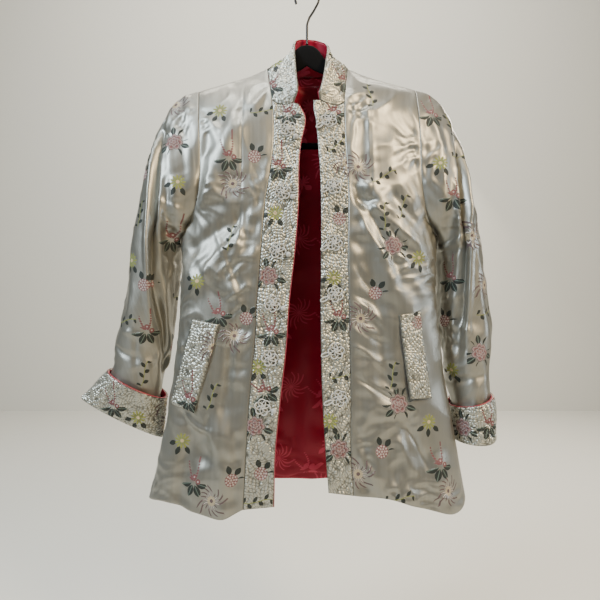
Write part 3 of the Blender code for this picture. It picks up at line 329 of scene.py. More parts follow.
# Smaller creases: ends seen from the front, bend of the line between them, half width and
# height. Those of a sleeve's back are the front's, turned and mirrored a little
CREASES = tables(
    "x0 z0 x1 z1 bend spread rise",
    front_right="""
    -0.065 -0.178 -0.09 -0.219 0 0.0094 0.0026
    -0.105 -0.2 -0.11 -0.247 0 0.0078 -0.0016
    -0.16 -0.222 -0.134 -0.291 0.0031 0.0109 0.0018
    -0.13 -0.21 -0.146 -0.291 0 0.0094 -0.0014
    -0.101 -0.378 -0.118 -0.466 -0.0031 0.0062 0.0022
    -0.104 -0.388 -0.174 -0.475 -0.0062 0.0078 -0.0022
    -0.163 -0.33 -0.112 -0.377 0.0062 0.0078 0.0018
    -0.149 -0.306 -0.105 -0.363 0.0047 0.0094 -0.0014
    -0.146 -0.419 -0.112 -0.525 -0.0047 0.0062 0.002
    -0.129 -0.447 -0.098 -0.513 0.0031 0.0062 -0.002
    -0.159 -0.466 -0.096 -0.553 -0.0062 0.0078 0.0017
    -0.18 -0.466 -0.134 -0.525 0.0047 0.0078 -0.0014
    -0.124 -0.494 -0.096 -0.466 0 0.0047 0.0016
    -0.127 -0.525 -0.091 -0.5 0.0016 0.0047 0.0016
    -0.121 -0.553 -0.093 -0.53 -0.0016 0.0047 -0.0015
    -0.101 -0.572 -0.112 -0.689 0.0047 0.0078 0.0024
    -0.118 -0.572 -0.124 -0.678 0 0.0062 -0.0016
    -0.194 -0.697 -0.149 -0.728 0.0078 0.0062 0.0026
    -0.152 -0.7 -0.162 -0.747 0 0.0062 -0.0018
    -0.148 -0.725 -0.121 -0.79 0.0047 0.0078 0.0016
    -0.184 -0.728 -0.202 -0.837 0.0031 0.0125 -0.0016
    -0.124 -0.744 -0.096 -0.847 -0.0062 0.0094 0.002
    -0.109 -0.728 -0.105 -0.806 0.0031 0.0062 -0.0016
    -0.187 -0.291 -0.194 -0.463 0 0.0125 -0.0012
    """,
    front_left="""
    0.058 -0.189 0.069 -0.314 0.0031 0.0094 0.0018
    0.085 -0.189 0.088 -0.33 0 0.0094 -0.0018
    0.099 -0.205 0.102 -0.338 0 0.0062 0.0012
    0.065 -0.341 0.091 -0.378 0 0.0094 -0.0036
    0.055 -0.331 0.088 -0.391 0.0062 0.0062 0.0016
    0.094 -0.363 0.185 -0.441 0.0062 0.0078 0.0022
    0.091 -0.377 0.151 -0.513 -0.0047 0.0078 -0.0022
    0.113 -0.392 0.194 -0.528 0.0062 0.0094 0.0018
    0.082 -0.392 0.132 -0.475 0.0031 0.0062 0.0019
    0.132 -0.347 0.177 -0.409 0.0047 0.0094 -0.0016
    0.141 -0.247 0.129 -0.331 0 0.0125 0.0014
    0.069 -0.519 0.122 -0.572 -0.0047 0.0062 0.0017
    0.073 -0.466 0.116 -0.525 0.0047 0.0062 -0.0016
    0.066 -0.556 0.126 -0.595 0.0047 0.0062 -0.0016
    0.069 -0.595 0.122 -0.637 -0.0047 0.0062 0.0018
    0.076 -0.644 0.144 -0.684 0.0016 0.0047 -0.0018
    0.069 -0.744 0.141 -0.847 0.0062 0.0094 0.0028
    0.147 -0.712 0.188 -0.79 -0.0031 0.0047 -0.0019
    0.135 -0.719 0.169 -0.797 0.0047 0.0078 0.0016
    0.063 -0.709 0.101 -0.794 -0.0047 0.0078 -0.0019
    0.163 -0.525 0.194 -0.681 0.0062 0.0109 0.0022
    0.151 -0.559 0.172 -0.669 0 0.0078 -0.0013
    0.104 -0.684 0.076 -0.744 0.0047 0.0078 0.0015
    0.176 -0.728 0.204 -0.837 0.0047 0.0109 0.0018
    """,
    back="""
    -0.06 -0.16 -0.1 -0.26 0.006 0.012 0.002  0.07 -0.165 0.11 -0.27 -0.006 0.012 0.0018
    -0.17 -0.3 -0.08 -0.36 0.008 0.01 -0.0022  0.165 -0.31 0.09 -0.38 0.006 0.01 -0.002
    -0.15 -0.38 -0.05 -0.45 0.008 0.009 0.002  0.16 -0.4 0.04 -0.47 0.006 0.009 0.0022
    -0.12 -0.52 -0.03 -0.56 0.004 0.008 -0.0018  0.11 -0.54 0.02 -0.59 0.004 0.008 -0.0018
    -0.03 -0.3 -0.02 -0.5 0.005 0.012 0.0014  0.04 -0.29 0.03 -0.52 0.005 0.012 -0.0014
    -0.13 -0.64 -0.11 -0.84 0.006 0.011 0.002  0.13 -0.65 0.12 -0.84 0.006 0.011 0.002
    -0.04 -0.62 -0.03 -0.84 0.006 0.01 -0.0018  0.05 -0.64 0.045 -0.84 0.006 0.01 -0.0018
    -0.2 -0.56 -0.15 -0.62 0.006 0.008 0.0018  0.195 -0.58 0.15 -0.64 0.006 0.008 0.0018
    """,
    sleeve_right="""
    -0.242 -0.236 -0.243 -0.54 0.0033 0.007 -0.015
    -0.252 -0.236 -0.254 -0.6 0.0033 0.006 0.0045
    -0.243 -0.52 -0.238 -0.683 -0.0033 0.007 -0.011
    -0.226 -0.33 -0.22 -0.64 0 0.015 -0.009
    -0.224 -0.243 -0.214 -0.367 0.0033 0.01 0.0018
    -0.204 -0.226 -0.195 -0.359 0 0.0083 -0.0015
    -0.236 -0.392 -0.198 -0.412 0.0033 0.0066 0.0034
    -0.231 -0.422 -0.195 -0.399 -0.0033 0.0066 -0.0028
    -0.239 -0.359 -0.201 -0.382 0.005 0.0066 0.0024
    -0.234 -0.445 -0.201 -0.462 0.0033 0.0083 -0.002
    -0.264 -0.276 -0.289 -0.575 0.01 0.0116 0.0022
    -0.278 -0.326 -0.298 -0.558 0.0066 0.0083 -0.0014
    -0.321 -0.6 -0.273 -0.62 0.005 0.0066 -0.003
    -0.304 -0.575 -0.258 -0.598 -0.005 0.0083 0.0024
    -0.294 -0.638 -0.228 -0.608 0.005 0.0083 0.0022
    -0.278 -0.575 -0.278 -0.661 0.0033 0.0066 -0.0016
    -0.231 -0.508 -0.218 -0.641 0.0033 0.01 0.0016
    """,
    sleeve_left="""
    0.247 -0.249 0.247 -0.6 -0.0033 0.0066 -0.013
    0.257 -0.249 0.257 -0.62 -0.0033 0.006 0.004
    0.23 -0.34 0.232 -0.62 0 0.013 -0.007
    0.201 -0.223 0.221 -0.342 -0.0083 0.01 0.0024
    0.224 -0.226 0.237 -0.342 0.005 0.01 -0.0016
    0.214 -0.442 0.259 -0.412 0.005 0.0066 0.003
    0.216 -0.465 0.262 -0.442 -0.005 0.0066 -0.0024
    0.217 -0.525 0.264 -0.505 0.005 0.0083 0.0024
    0.211 -0.575 0.267 -0.608 0.0066 0.0066 -0.0028
    0.217 -0.555 0.271 -0.575 0.005 0.0083 0.0022
    0.271 -0.434 0.297 -0.583 0.0066 0.01 0.0022
    0.267 -0.309 0.284 -0.452 -0.005 0.01 -0.0016
    0.221 -0.645 0.291 -0.611 0.005 0.0083 0.0028
    0.231 -0.671 0.297 -0.645 -0.005 0.0066 -0.0022
    0.257 -0.276 0.277 -0.409 0.0066 0.01 0.0018
    0.294 -0.409 0.307 -0.575 0.005 0.0066 -0.0016
    """,
)

# Woven motifs: kind, place seen from the front (or from behind), and turn in degrees
KINDS = ("peony", "chrysanthemum", "aster", "ball", "spray", "sprig")
PEONY, MUM, ASTER, BALL, SPRAY, SPRIG = range(len(KINDS))
MOTIF_CELL = 0.064
MOTIF_UNIT = 0.024
MOTIF_REACH = 0.020
MOTIFS = {
    "front_right": [
        (ASTER, -0.141, -0.217, 0), (BALL, -0.084, -0.299, 0), (SPRAY, -0.124, -0.302, 0),
        (MUM, -0.118, -0.342, 20), (SPRIG, -0.121, -0.428, 80), (ASTER, -0.173, -0.495, -30),
        (SPRAY, -0.138, -0.548, 10), (BALL, -0.096, -0.553, 0), (MUM, -0.113, -0.58, 60),
        (SPRIG, -0.146, -0.673, 60), (ASTER, -0.196, -0.745, 0), (SPRAY, -0.174, -0.805, 0),
        (MUM, -0.146, -0.829, 0), (BALL, -0.115, -0.797, 0), (SPRIG, -0.07, -0.221, 0),
    ],
    "front_left": [
        (SPRIG, 0.121, -0.33, 20), (PEONY, 0.133, -0.439, 10), (SPRIG, 0.151, -0.378, 60),
        (ASTER, 0.176, -0.459, -20), (BALL, 0.105, -0.514, 0), (MUM, 0.082, -0.553, 0),
        (SPRIG, 0.13, -0.642, 70), (PEONY, 0.141, -0.686, 0), (ASTER, 0.188, -0.715, 20),
        (BALL, 0.113, -0.756, 0), (SPRAY, 0.207, -0.784, 0), (MUM, 0.077, -0.79, 0),
        (SPRIG, 0.141, -0.825, 0), (SPRIG, 0.119, -0.394, 80), (SPRIG, 0.102, -0.189, 90),
        (MUM, 0.08, -0.316, 0), (MUM, 0.219, -0.822, 0),
    ],
    "band_right": [
        (SPRAY, -0.03, -0.227, 0), (ASTER, -0.05, -0.389, 0), (PEONY, -0.061, -0.488, 0),
        (SPRAY, -0.046, -0.316, 0), (ASTER, -0.076, -0.627, 0), (PEONY, -0.08, -0.717, 0),
        (SPRAY, -0.066, -0.666, 30), (BALL, -0.071, -0.789, 0), (SPRAY, -0.056, -0.575, 0),
        (SPRIG, -0.075, -0.83, 0),
    ],
    "band_left": [
        (SPRAY, 0.042, -0.225, 0), (SPRIG, 0.05, -0.277, 30), (MUM, 0.062, -0.308, 0),
        (BALL, 0.05, -0.398, 0), (SPRAY, 0.048, -0.552, 0), (SPRIG, 0.055, -0.641, 0),
        (PEONY, 0.048, -0.752, 0), (ASTER, 0.041, -0.491, 0), (ASTER, 0.034, -0.709, 0),
    ],
    "sleeve_right": [
        (PEONY, -0.217, -0.269, 0), (ASTER, -0.207, -0.337, 0), (SPRAY, -0.225, -0.425, 0),
        (MUM, -0.22, -0.198, 0), (BALL, -0.27, -0.318, 0), (BALL, -0.262, -0.5, 0),
        (SPRAY, -0.262, -0.575, 0), (ASTER, -0.285, -0.462, 0), (SPRIG, -0.272, -0.385, 80),
        (SPRIG, -0.298, -0.558, 0), (SPRIG, -0.268, -0.645, 70),
    ],
    "sleeve_left": [
        (ASTER, 0.214, -0.306, 0), (SPRAY, 0.205, -0.222, 0), (PEONY, 0.28, -0.611, 0),
        (SPRIG, 0.237, -0.234, 90), (SPRIG, 0.251, -0.29, 0), (MUM, 0.262, -0.422, 0),
        (SPRAY, 0.232, -0.36, 0), (BALL, 0.231, -0.56, 0), (ASTER, 0.24, -0.64, 0),
        (SPRAY, 0.238, -0.492, 0), (MUM, 0.287, -0.5, 0), (SPRIG, 0.295, -0.545, 0),
    ],
    "pocket_right": [
        (MUM, -0.138, -0.601, 0), (SPRAY, -0.185, -0.68, 0),
    ],
    "pocket_left": [
        (BALL, 0.172, -0.56, 0), (ASTER, 0.3, -0.64, 0),
    ],
    "cuff_left": [
        (PEONY, 0.252, -0.732, 0), (SPRAY, 0.29, -0.725, 0),
    ],
    "cuff_right": [
        (ASTER, -0.279, -0.719, 0), (SPRAY, -0.32, -0.7, 0), (MUM, -0.24, -0.7, 0),
    ],
    "collar": [
        (SPRAY, -0.062, -0.175, 0), (ASTER, -0.052, -0.12, 0), (SPRAY, 0.06, -0.165, 0),
        (SPRIG, 0.05, -0.11, 0),
    ],
}
HIDDEN_REPEAT = 0.094
HIDDEN_KINDS = (PEONY, SPRIG, MUM, ASTER, SPRAY, BALL, MUM, SPRIG)


def length_property(name, description, default, low, high):
    """A length setting with its range."""
    return bpy.props.FloatProperty(
        name=name, description=description, default=default, min=low, max=high, unit="LENGTH"
    )


class JacketSizes(bpy.types.PropertyGroup):
    """Sizes that a user may change."""

    cloth_wall: length_property(
        "Cloth thickness", "Satin and its lining together", 0.0018, 0.0008, 0.0030
    )
    quilt_wall: length_property(
        "Quilt thickness", "Padding under the quilting, without its bumps", 0.0022, 0.0010, 0.0040
    )
    quilt_rise: length_property(
        "Quilt bumps", "Height of the bumps between the stitches", 0.0019, 0.0, 0.0030
    )
    quilt_pitch: length_property(
        "Quilt pitch", "Width of one quilted bump", 0.0037, 0.0025, 0.0120
    )
    crumple: length_property(
        "Crumple", "Height of the small uneven waves in the satin", 0.0010, 0.0, 0.0030
    )
    crease_depth: bpy.props.FloatProperty(
        name="Crease depth",
        description="Depth of the placed creases, as a share of the usual one",
        default=1.0,
        min=0.0,
        max=2.0,
    )


def colour_property(name, description, default):
    """A colour setting."""
    return bpy.props.FloatVectorProperty(
        name=name, description=description, default=default, subtype="COLOR", min=0.0, max=1.0
    )


class JacketColours(bpy.types.PropertyGroup):
    """Colours that a user may change."""

    satin: colour_property("Satin", "Ground of the brocade", (0.268, 0.260, 0.228))
    quilt: colour_property("Quilted satin", "Ground of the quilting", (0.400, 0.392, 0.335))
    lining: colour_property("Lining", "Ground of the lining", (0.250, 0.003, 0.020))
    figure: colour_property("Lining figure", "Flowers of the lining", (0.480, 0.040, 0.080))
    cord: colour_property("Cord", "Frog fastenings", (0.440, 0.435, 0.410))
    piping: colour_property("Piping", "Fine line along the edges", (0.300, 0.035, 0.050))
    velvet: colour_property("Velvet", "Hanger", (0.0025, 0.0025, 0.0028))
    wire: colour_property("Wire", "Hanger's hook", (0.030, 0.030, 0.032))


def curve(knots, values, at):
    """Cubic through the values at the knots, with slopes from the neighbouring values."""
    knots, values, at = (np.asarray(a, dtype=float) for a in (knots, values, at))
    slopes = np.gradient(values, knots)
    k = np.clip(np.searchsorted(knots, at, side="right") - 1, 0, len(knots) - 2)
    step = knots[k + 1] - knots[k]
    t = (at - knots[k]) / step
    rise = values[k + 1] - values[k]
    ease = t * t * (3 - 2 * t)
    lead = t * (1 - t) ** 2 * step * slopes[k]
    tail = t * t * (t - 1) * step * slopes[k + 1]
    return values[k] + rise * ease + lead + tail


def columns_at(rows, key, names, at):
    """Points whose coordinates are the named columns, read smoothly at the key's values."""
    return np.stack([curve(rows[key], rows[name], at) for name in names.split()], axis=-1)


def smooth_step(value, width):
    """0 at value 0, 1 from value = width on: 3t^2 - 2t^3 between."""
    t = np.clip(value / width, 0.0, 1.0)
    return t * t * (3 - 2 * t)


def unit(vectors):
    """The vectors at length 1."""
    return vectors / np.maximum(np.linalg.norm(vectors, axis=-1, keepdims=True), 1e-12)


def full_turn(count):
    """Angles of a full turn in even steps, from 0."""
    return np.linspace(0, 2 * math.pi, count, endpoint=False)


def line_lengths(points):
    """Length run along a line at each of its points."""
    steps = np.linalg.norm(np.diff(points, axis=0), axis=1)
    return np.concatenate([[0], np.cumsum(steps)])


def cloth_lengths(sheet):
    """Lengths run across and down a grid, at its points."""
    across = np.linalg.norm(np.diff(sheet, axis=1), axis=-1)
    down = np.linalg.norm(np.diff(sheet, axis=0), axis=-1)
    u = np.concatenate([np.zeros((len(sheet), 1)), np.cumsum(across, axis=1)], axis=1)
    v = np.concatenate([np.zeros((1, sheet.shape[1])), np.cumsum(down, axis=0)], axis=0)
    return u, v


def resample(points, count):
    """A line at count even shares of its length."""
    run = line_lengths(points)
    at = np.linspace(0, run[-1], count)
    return np.stack([np.interp(at, run, points[:, k]) for k in range(points.shape[1])], axis=-1)


def line_place(x0, z0, x1, z1, x, z):
    """Share run along a line, 0 to 1 between its ends, and distance to it."""
    along_x, along_z = x1 - x0, z1 - z0
    length = math.hypot(along_x, along_z)
    share = ((x - x0) * along_x + (z - z0) * along_z) / length**2
    return share, ((x - x0) * along_z - (z - z0) * along_x) / length


def fold_depth(folds, x, z):
    """Sum over the rows of rise * exp(-(distance to the line / spread)^2), faded past its ends."""
    total = np.zeros_like(x)
    for *ends, spread, rise in zip(*folds.values()):
        t, across = line_place(*ends, x, z)
        inside = smooth_step(t + 0.25, 0.35) * smooth_step(1.25 - t, 0.35)
        total += rise * inside * np.exp(-((across / spread) ** 2))
    return total


def crease_depth(creases, x, z):
    """Sum of (1 - q/2) * exp(-q) ridges, q = (distance to a bent line / spread)^2, fading out."""
    total = np.zeros_like(x)
    for *ends, bend, spread, rise in zip(*creases.values()):
        t, across = line_place(*ends, x, z)
        across = across - bend * 4 * t * (1 - t)
        inside = smooth_step(t + 0.12, 0.35) * smooth_step(1.12 - t, 0.35)
        wide = spread * (0.75 + 0.5 * np.clip(t, 0, 1))
        q = (across / wide) ** 2
        total += rise * inside * (1 - 0.5 * q) * np.exp(-q)
    return total


def ripples(points, wavelength, seed, count=24):
    """Sum of plane waves of about one wavelength in random directions, near -1 to 1.

    The points may have two coordinates (along the cloth) or three (in space).
    """
    chance = np.random.default_rng(seed)
    ways = unit(chance.normal(size=(count, points.shape[-1])))
    phase = chance.uniform(0, 2 * math.pi, count)
    number = 2 * math.pi / wavelength * chance.uniform(0.85, 1.15, count)
    total = np.zeros(points.shape[:-1])
    for way, start, k in zip(ways, phase, number):
        total += np.sin(k * (points @ way) + start)
    return total * math.sqrt(2 / count)


def crumple_height(points, seed):
    """Soft pulled waves of four sizes; the middle two have ridges, 1/2 - |wave|.

    The warp bends them; the two small sizes come and go over the cloth.
    """
    warp = [0.012 * ripples(points, 0.100, seed + k, 12) for k in range(3)]
    moved = points + np.stack(warp, axis=-1)
    broad = ripples(moved, 0.110, seed + 3, 12)
    middle = 0.5 - np.abs(ripples(moved, 0.080, seed + 4, 12))
    fine = 0.5 - np.abs(ripples(moved, 0.040, seed + 6, 16))
    small = ripples(moved, 0.019, seed + 5, 16)
    worn = np.clip(0.55 + 0.75 * ripples(points, 0.150, seed + 7, 10), 0.0, 1.4)
    return 0.8 * broad + 0.9 * middle + worn * (0.72 * fine + 0.28 * small)


def pebbles(u, v, pitch, seed):
    """Bumps between the zero lines of a random wave: 1 - exp(-(|wave| / 0.90)^1.2)."""
    wave = ripples(np.stack([u, v], axis=-1), 2 * pitch, seed, 36)
    return 1 - np.exp(-((np.abs(wave) / 0.90) ** 1.2))


# Rows shared by every piece that meets at a seam
ROWS = np.concatenate(
    [np.linspace(0, ARMPIT, ARM_STEPS + 1), np.linspace(ARMPIT, 1, SIDE_STEPS + 1)[1:]]
)


def bezier_rows(start, start_handle, end_handle, end, share):
    """A cubic Bezier curve for each row, at the shares 0 to 1 of its width."""
    t = share[None, :, None]
    a, b, c, d = (p[:, None, :] for p in (start, start_handle, end_handle, end))
    return a * (1 - t) ** 3 + 3 * b * t * (1 - t) ** 2 + 3 * c * t * t * (1 - t) + d * t**3


def front_sheet(side):
    """A front: each row a Bezier curve from the band seam to the side, with the folds added."""
    sign = SIDES[side]
    rows = FRONT[side]
    share = np.linspace(0, 1, FRONT_STEPS + 1)
    start = columns_at(rows, "v", "in_x in_y in_z", ROWS)
    end = columns_at(rows, "v", "out_x out_y out_z", ROWS)
    bow, turn, roundness = columns_at(rows, "v", "bow turn round", ROWS).T
    span = end - start
    start_handle = start + span * 0.38
    start_handle[:, 1] = start[:, 1] - bow
    end_handle = end - span * HANDLE
    end_handle[:, 0] += span[:, 0] * HANDLE * roundness
    end_handle[:, 1] = end[:, 1] - turn + (start[:, 1] - end[:, 1]) * HANDLE * (1 - roundness)
    sheet = bezier_rows(start, start_handle, end_handle, end, share)
    sheet[..., 0] *= sign
    line = SHOULDER[side]
    line_x = line["x"][0] + (line["x"][-1] - line["x"][0]) * share
    level = (1 - smooth_step(ROWS, 0.12))[:, None]
    sheet[..., 2] += level * (np.interp(line_x, line["x"], line["z"]) - sheet[0, :, 2])
    sheet[..., 0] += level * (sign * line_x - sheet[0, :, 0])
    dip = curve(HEM[side]["u"], HEM[side]["z"], share)[None, :]
    sheet[..., 2] += dip * smooth_step(ROWS - 0.55, 0.45)[:, None]
    inside = smooth_step(share, 0.14) * smooth_step(1 - share, 0.16)
    window = inside[None, :] * smooth_step(ROWS, 0.08)[:, None]
    sheet[..., 1] -= fold_depth(FOLDS[side], sheet[..., 0], sheet[..., 2]) * window
    return sheet


def neck_and_shoulder(side):
    """Top of half the back: middle of the neck, side of the neck, then the shoulder line."""
    line = SHOULDER[side]
    neck = [(0.0, BACK_MIDDLE["y"][0], BACK_MIDDLE["z"][0])]
    neck += list(zip(NECK_BACK["x"], NECK_BACK["y"], NECK_BACK["z"]))[::-1]
    shoulder = [(x, 0.0, z) for x, z in zip(line["x"], line["z"])]
    return np.array(neck + shoulder)


def back_sheet():
    """The back: each row two Bezier curves from the middle to the sides, with the folds added."""
    half = np.linspace(0, 1, BACK_STEPS // 2 + 1)
    middle = np.stack(
        [
            np.zeros_like(ROWS),
            curve(BACK_MIDDLE["v"], BACK_MIDDLE["y"], ROWS),
            curve(BACK_MIDDLE["v"], BACK_MIDDLE["z"], ROWS),
        ],
        axis=-1,
    )
    halves = []
    for side, sign in SIDES.items():
        end = columns_at(FRONT[side], "v", "out_x out_y out_z", ROWS)
        arm = ROWS < ARMPIT
        end[arm] = columns_at(BACK_ARM, "v", "x y z", ROWS[arm])
        blend = smooth_step(ROWS, ARMPIT / 9)[:, None]
        corner = np.array([SHOULDER[side]["x"][-1], 0.0, SHOULDER[side]["z"][-1]])
        end = end + (1 - blend) * (corner - end[0])
        span = end - middle
        start_handle = middle + span * 0.40
        start_handle[:, 1] = middle[:, 1]
        end_handle = end - span * HANDLE
        below = smooth_step(ROWS - 0.22, 0.14)
        end_handle[:, 0] += span[:, 0] * HANDLE * below
        end_handle[:, 1] += BACK_TURN * below
        sheet = bezier_rows(middle, start_handle, end_handle, end, half)
        top = neck_and_shoulder(side)
        coarse = np.linspace(0, 1, len(top))
        top = np.stack([np.interp(half, coarse, top[:, k]) for k in range(3)], axis=-1)
        level = (1 - smooth_step(ROWS, 0.14))[:, None, None]
        sheet += level * (top - sheet[0])[None]
        sheet[..., 0] *= sign
        halves.append(sheet)
    sheet = np.concatenate([halves[0][:, :0:-1], halves[1]], axis=1)
    share = np.abs(np.linspace(-1, 1, sheet.shape[1]))
    window = smooth_step(1 - share, 0.2)[None, :] * smooth_step(ROWS, 0.12)[:, None]
    sheet[..., 1] += fold_depth(FOLDS["back"], sheet[..., 0], sheet[..., 2]) * window
    return sheet


def normals(sheet, way, closed=False):
    """Unit cross products of the grid's steps across and down, facing the way on average."""
    if closed:
        wrapped = np.concatenate([sheet[-1:], sheet, sheet[:1]], axis=0)
        down = (wrapped[2:] - wrapped[:-2]) / 2
    else:
        down = np.gradient(sheet, axis=0)
    across = np.gradient(sheet, axis=1)
    field = unit(np.cross(across, down))
    return field * np.sign((field * way).sum(axis=-1).mean())


def from_middle(sheet):
    """Ways out from the middle of each ring of a closed grid."""
    return sheet - sheet.mean(axis=0, keepdims=True)


def pull_in(sheet, sides, gap=SEAM_HALF_GAP):
    """Draws the named edges of a grid back along the cloth, to leave a gap at each seam."""
    out = sheet.copy()
    if "top" in sides:
        out[0] += unit(sheet[1] - sheet[0]) * gap
    if "first" in sides:
        out[:, 0] += unit(sheet[:, 1] - sheet[:, 0]) * gap
    if "last" in sides:
        out[:, -1] += unit(sheet[:, -2] - sheet[:, -1]) * gap
    return out


def neck_inward(points):
    """Direction in which every piece at the neckline is thick: in towards the neck and down."""
    out = unit((points - NECK_CENTRE) * np.array([1.0, 1.0, 0.0]))
    down = np.array([0.0, 0.0, 1.0]) * (0.1 + 0.56 * out[..., :1] ** 2)
    return unit(-out - down)


def arm_inward(towards):
    """Directions in which the pieces at an armhole are thick, from its top to the armpit."""
    angle = np.linspace(0, math.pi, ARM_STEPS + 1)
    return np.stack([np.zeros_like(angle), np.sin(angle) * towards, -np.cos(angle)], axis=-1)


def ease_in(inward, rows=(), columns=(), reach=6):
    """Spreads the directions set at edge rows or columns over the next few, in even steps."""
    out = inward.copy()
    for axis, ends in ((0, rows), (1, columns)):
        field = np.moveaxis(out, axis, 0)
        for end in ends:
            for step in range(1, reach):
                share = 1 - step / reach
                at = step if end == 0 else -1 - step
                field[at] = unit(field[at] * (1 - share) + field[end] * share)
    return out


def grid_index(rows, columns, first, closed):
    """Numbers of a grid's points; a closed grid's first row comes again at its end."""
    index = first + np.arange(rows * columns).reshape(rows, columns)
    return np.concatenate([index, index[:1]]) if closed else index


def corners(grid):
    """The four corner values of each cell of a grid, in order round the cell."""
    cells = np.stack([grid[:-1, :-1], grid[1:, :-1], grid[1:, 1:], grid[:-1, 1:]], axis=2)
    return cells.reshape(-1, 4, *grid.shape[2:])


def rim(fine, coarse):
    """Triangles between an edge with 2n steps and one with n steps."""
    a, b, c = fine[:-2:2], fine[1::2], fine[2::2]
    p, q = coarse[:-1], coarse[1:]
    sets = [(b, a, p), (b, p, q), (c, b, q)]
    return np.concatenate([np.stack(three, axis=1) for three in sets])


def motif_rows(name):
    """A piece's placed motifs as rows of kind, x, z, turn."""
    return np.array(MOTIFS[name], dtype=float)


def hidden_rows(low, high):
    """Motifs of a hidden side: a half-drop repeat between two (x, z) corners."""
    across = np.arange(low[0], high[0], HIDDEN_REPEAT * 0.62)
    down = np.arange(low[1], high[1], HIDDEN_REPEAT)
    i, j = np.meshgrid(np.arange(len(across)), np.arange(len(down)), indexing="ij")
    kinds = np.array(HIDDEN_KINDS)[(3 * i + 5 * j + (i * j) % 3) % len(HIDDEN_KINDS)]
    z = down[j] + (i % 2) * HIDDEN_REPEAT / 2
    turn = (37 * i + 61 * j) % 50 - 25
    return np.stack([a.ravel() for a in (kinds, across[i], z, turn)], axis=-1).astype(float)


def place_motifs(cells, cell_facing, sheet, facing, groups):
    """UV of each cell's corners in the square of its nearest motif; kinds lie side by side in U.

    A motif sits at the grid point nearest to its x and z among those that face its way. Its
    square is the plane that touches the cloth there; cells turned away from it stay plain.
    """
    spots = []
    for way, rows in groups:
        seen = facing[..., 1] * way > 0.05
        for kind, x, z, turn in rows:
            gap = (sheet[..., 0] - x) ** 2 + (sheet[..., 2] - z) ** 2 + (~seen) * 1.0
            i, j = np.unravel_index(np.argmin(gap), gap.shape)
            if gap[i, j] < MOTIF_REACH**2:
                out = facing[i, j]
                across = unit(np.cross((0.0, 0.0, 1.0), out))
                up = np.cross(out, across)
                lean = math.radians(turn)
                along = across * math.cos(lean) + up * math.sin(lean)
                above = up * math.cos(lean) - across * math.sin(lean)
                spots.append(np.concatenate([[kind], sheet[i, j], along, above, out]))
    spots = np.array(spots)
    centre = cells.mean(axis=1)
    place = spots[:, 1:4]
    away = (centre**2).sum(-1)[:, None] - 2 * centre @ place.T + (place**2).sum(-1)[None]
    near = spots[np.argmin(away, axis=1)]
    local = cells - near[:, None, 1:4]
    x = (local * near[:, None, 4:7]).sum(-1) / MOTIF_CELL
    y = (local * near[:, None, 7:10]).sum(-1) / MOTIF_CELL
    turned = ((cell_facing * near[:, 10:13]).sum(-1) < 0.65)[:, None]
    x = np.where(turned, 0.48, np.clip(x, -0.48, 0.48))
    y = np.where(turned, 0.48, np.clip(y, -0.48, 0.48))
    return np.stack([near[:, :1] + 0.5 + x, 0.5 + y], axis=-1)


def new_piece(name, mesh, *materials):
    """A smooth object for a finished mesh, with its materials, on the part's one body."""
    for made in materials:
        mesh.materials.append(made)
    mesh.polygons.foreach_set("use_smooth", np.ones(len(mesh.polygons), dtype=bool))
    mesh.update()
    piece = bpy.data.objects.new(name, mesh)
    bpy.context.scene.collection.objects.link(piece)
    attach(piece, "root")
    return piece


def ring_piece(name, points, made, closed=False, turned=False):
    """A piece from rings of points: quads between them, and a flat face at each open end.

    Closed joins the last ring to the first. Turned reverses the faces' order.
    """
    index = np.arange(points.shape[0] * points.shape[1]).reshape(points.shape[:2])
    index = np.concatenate([index, index[:, :1]], axis=1)
    if closed:
        index = np.concatenate([index, index[:1]])
    faces = corners(index).tolist()
    if not closed:
        faces += [index[0, -2::-1].tolist(), index[-1, :-1].tolist()]
    if turned:
        faces = [face[::-1] for face in faces]
    mesh = bpy.data.meshes.new(name)
    mesh.from_pydata(points.reshape(-1, 3).tolist(), [], faces)
    return new_piece(name, mesh, made)


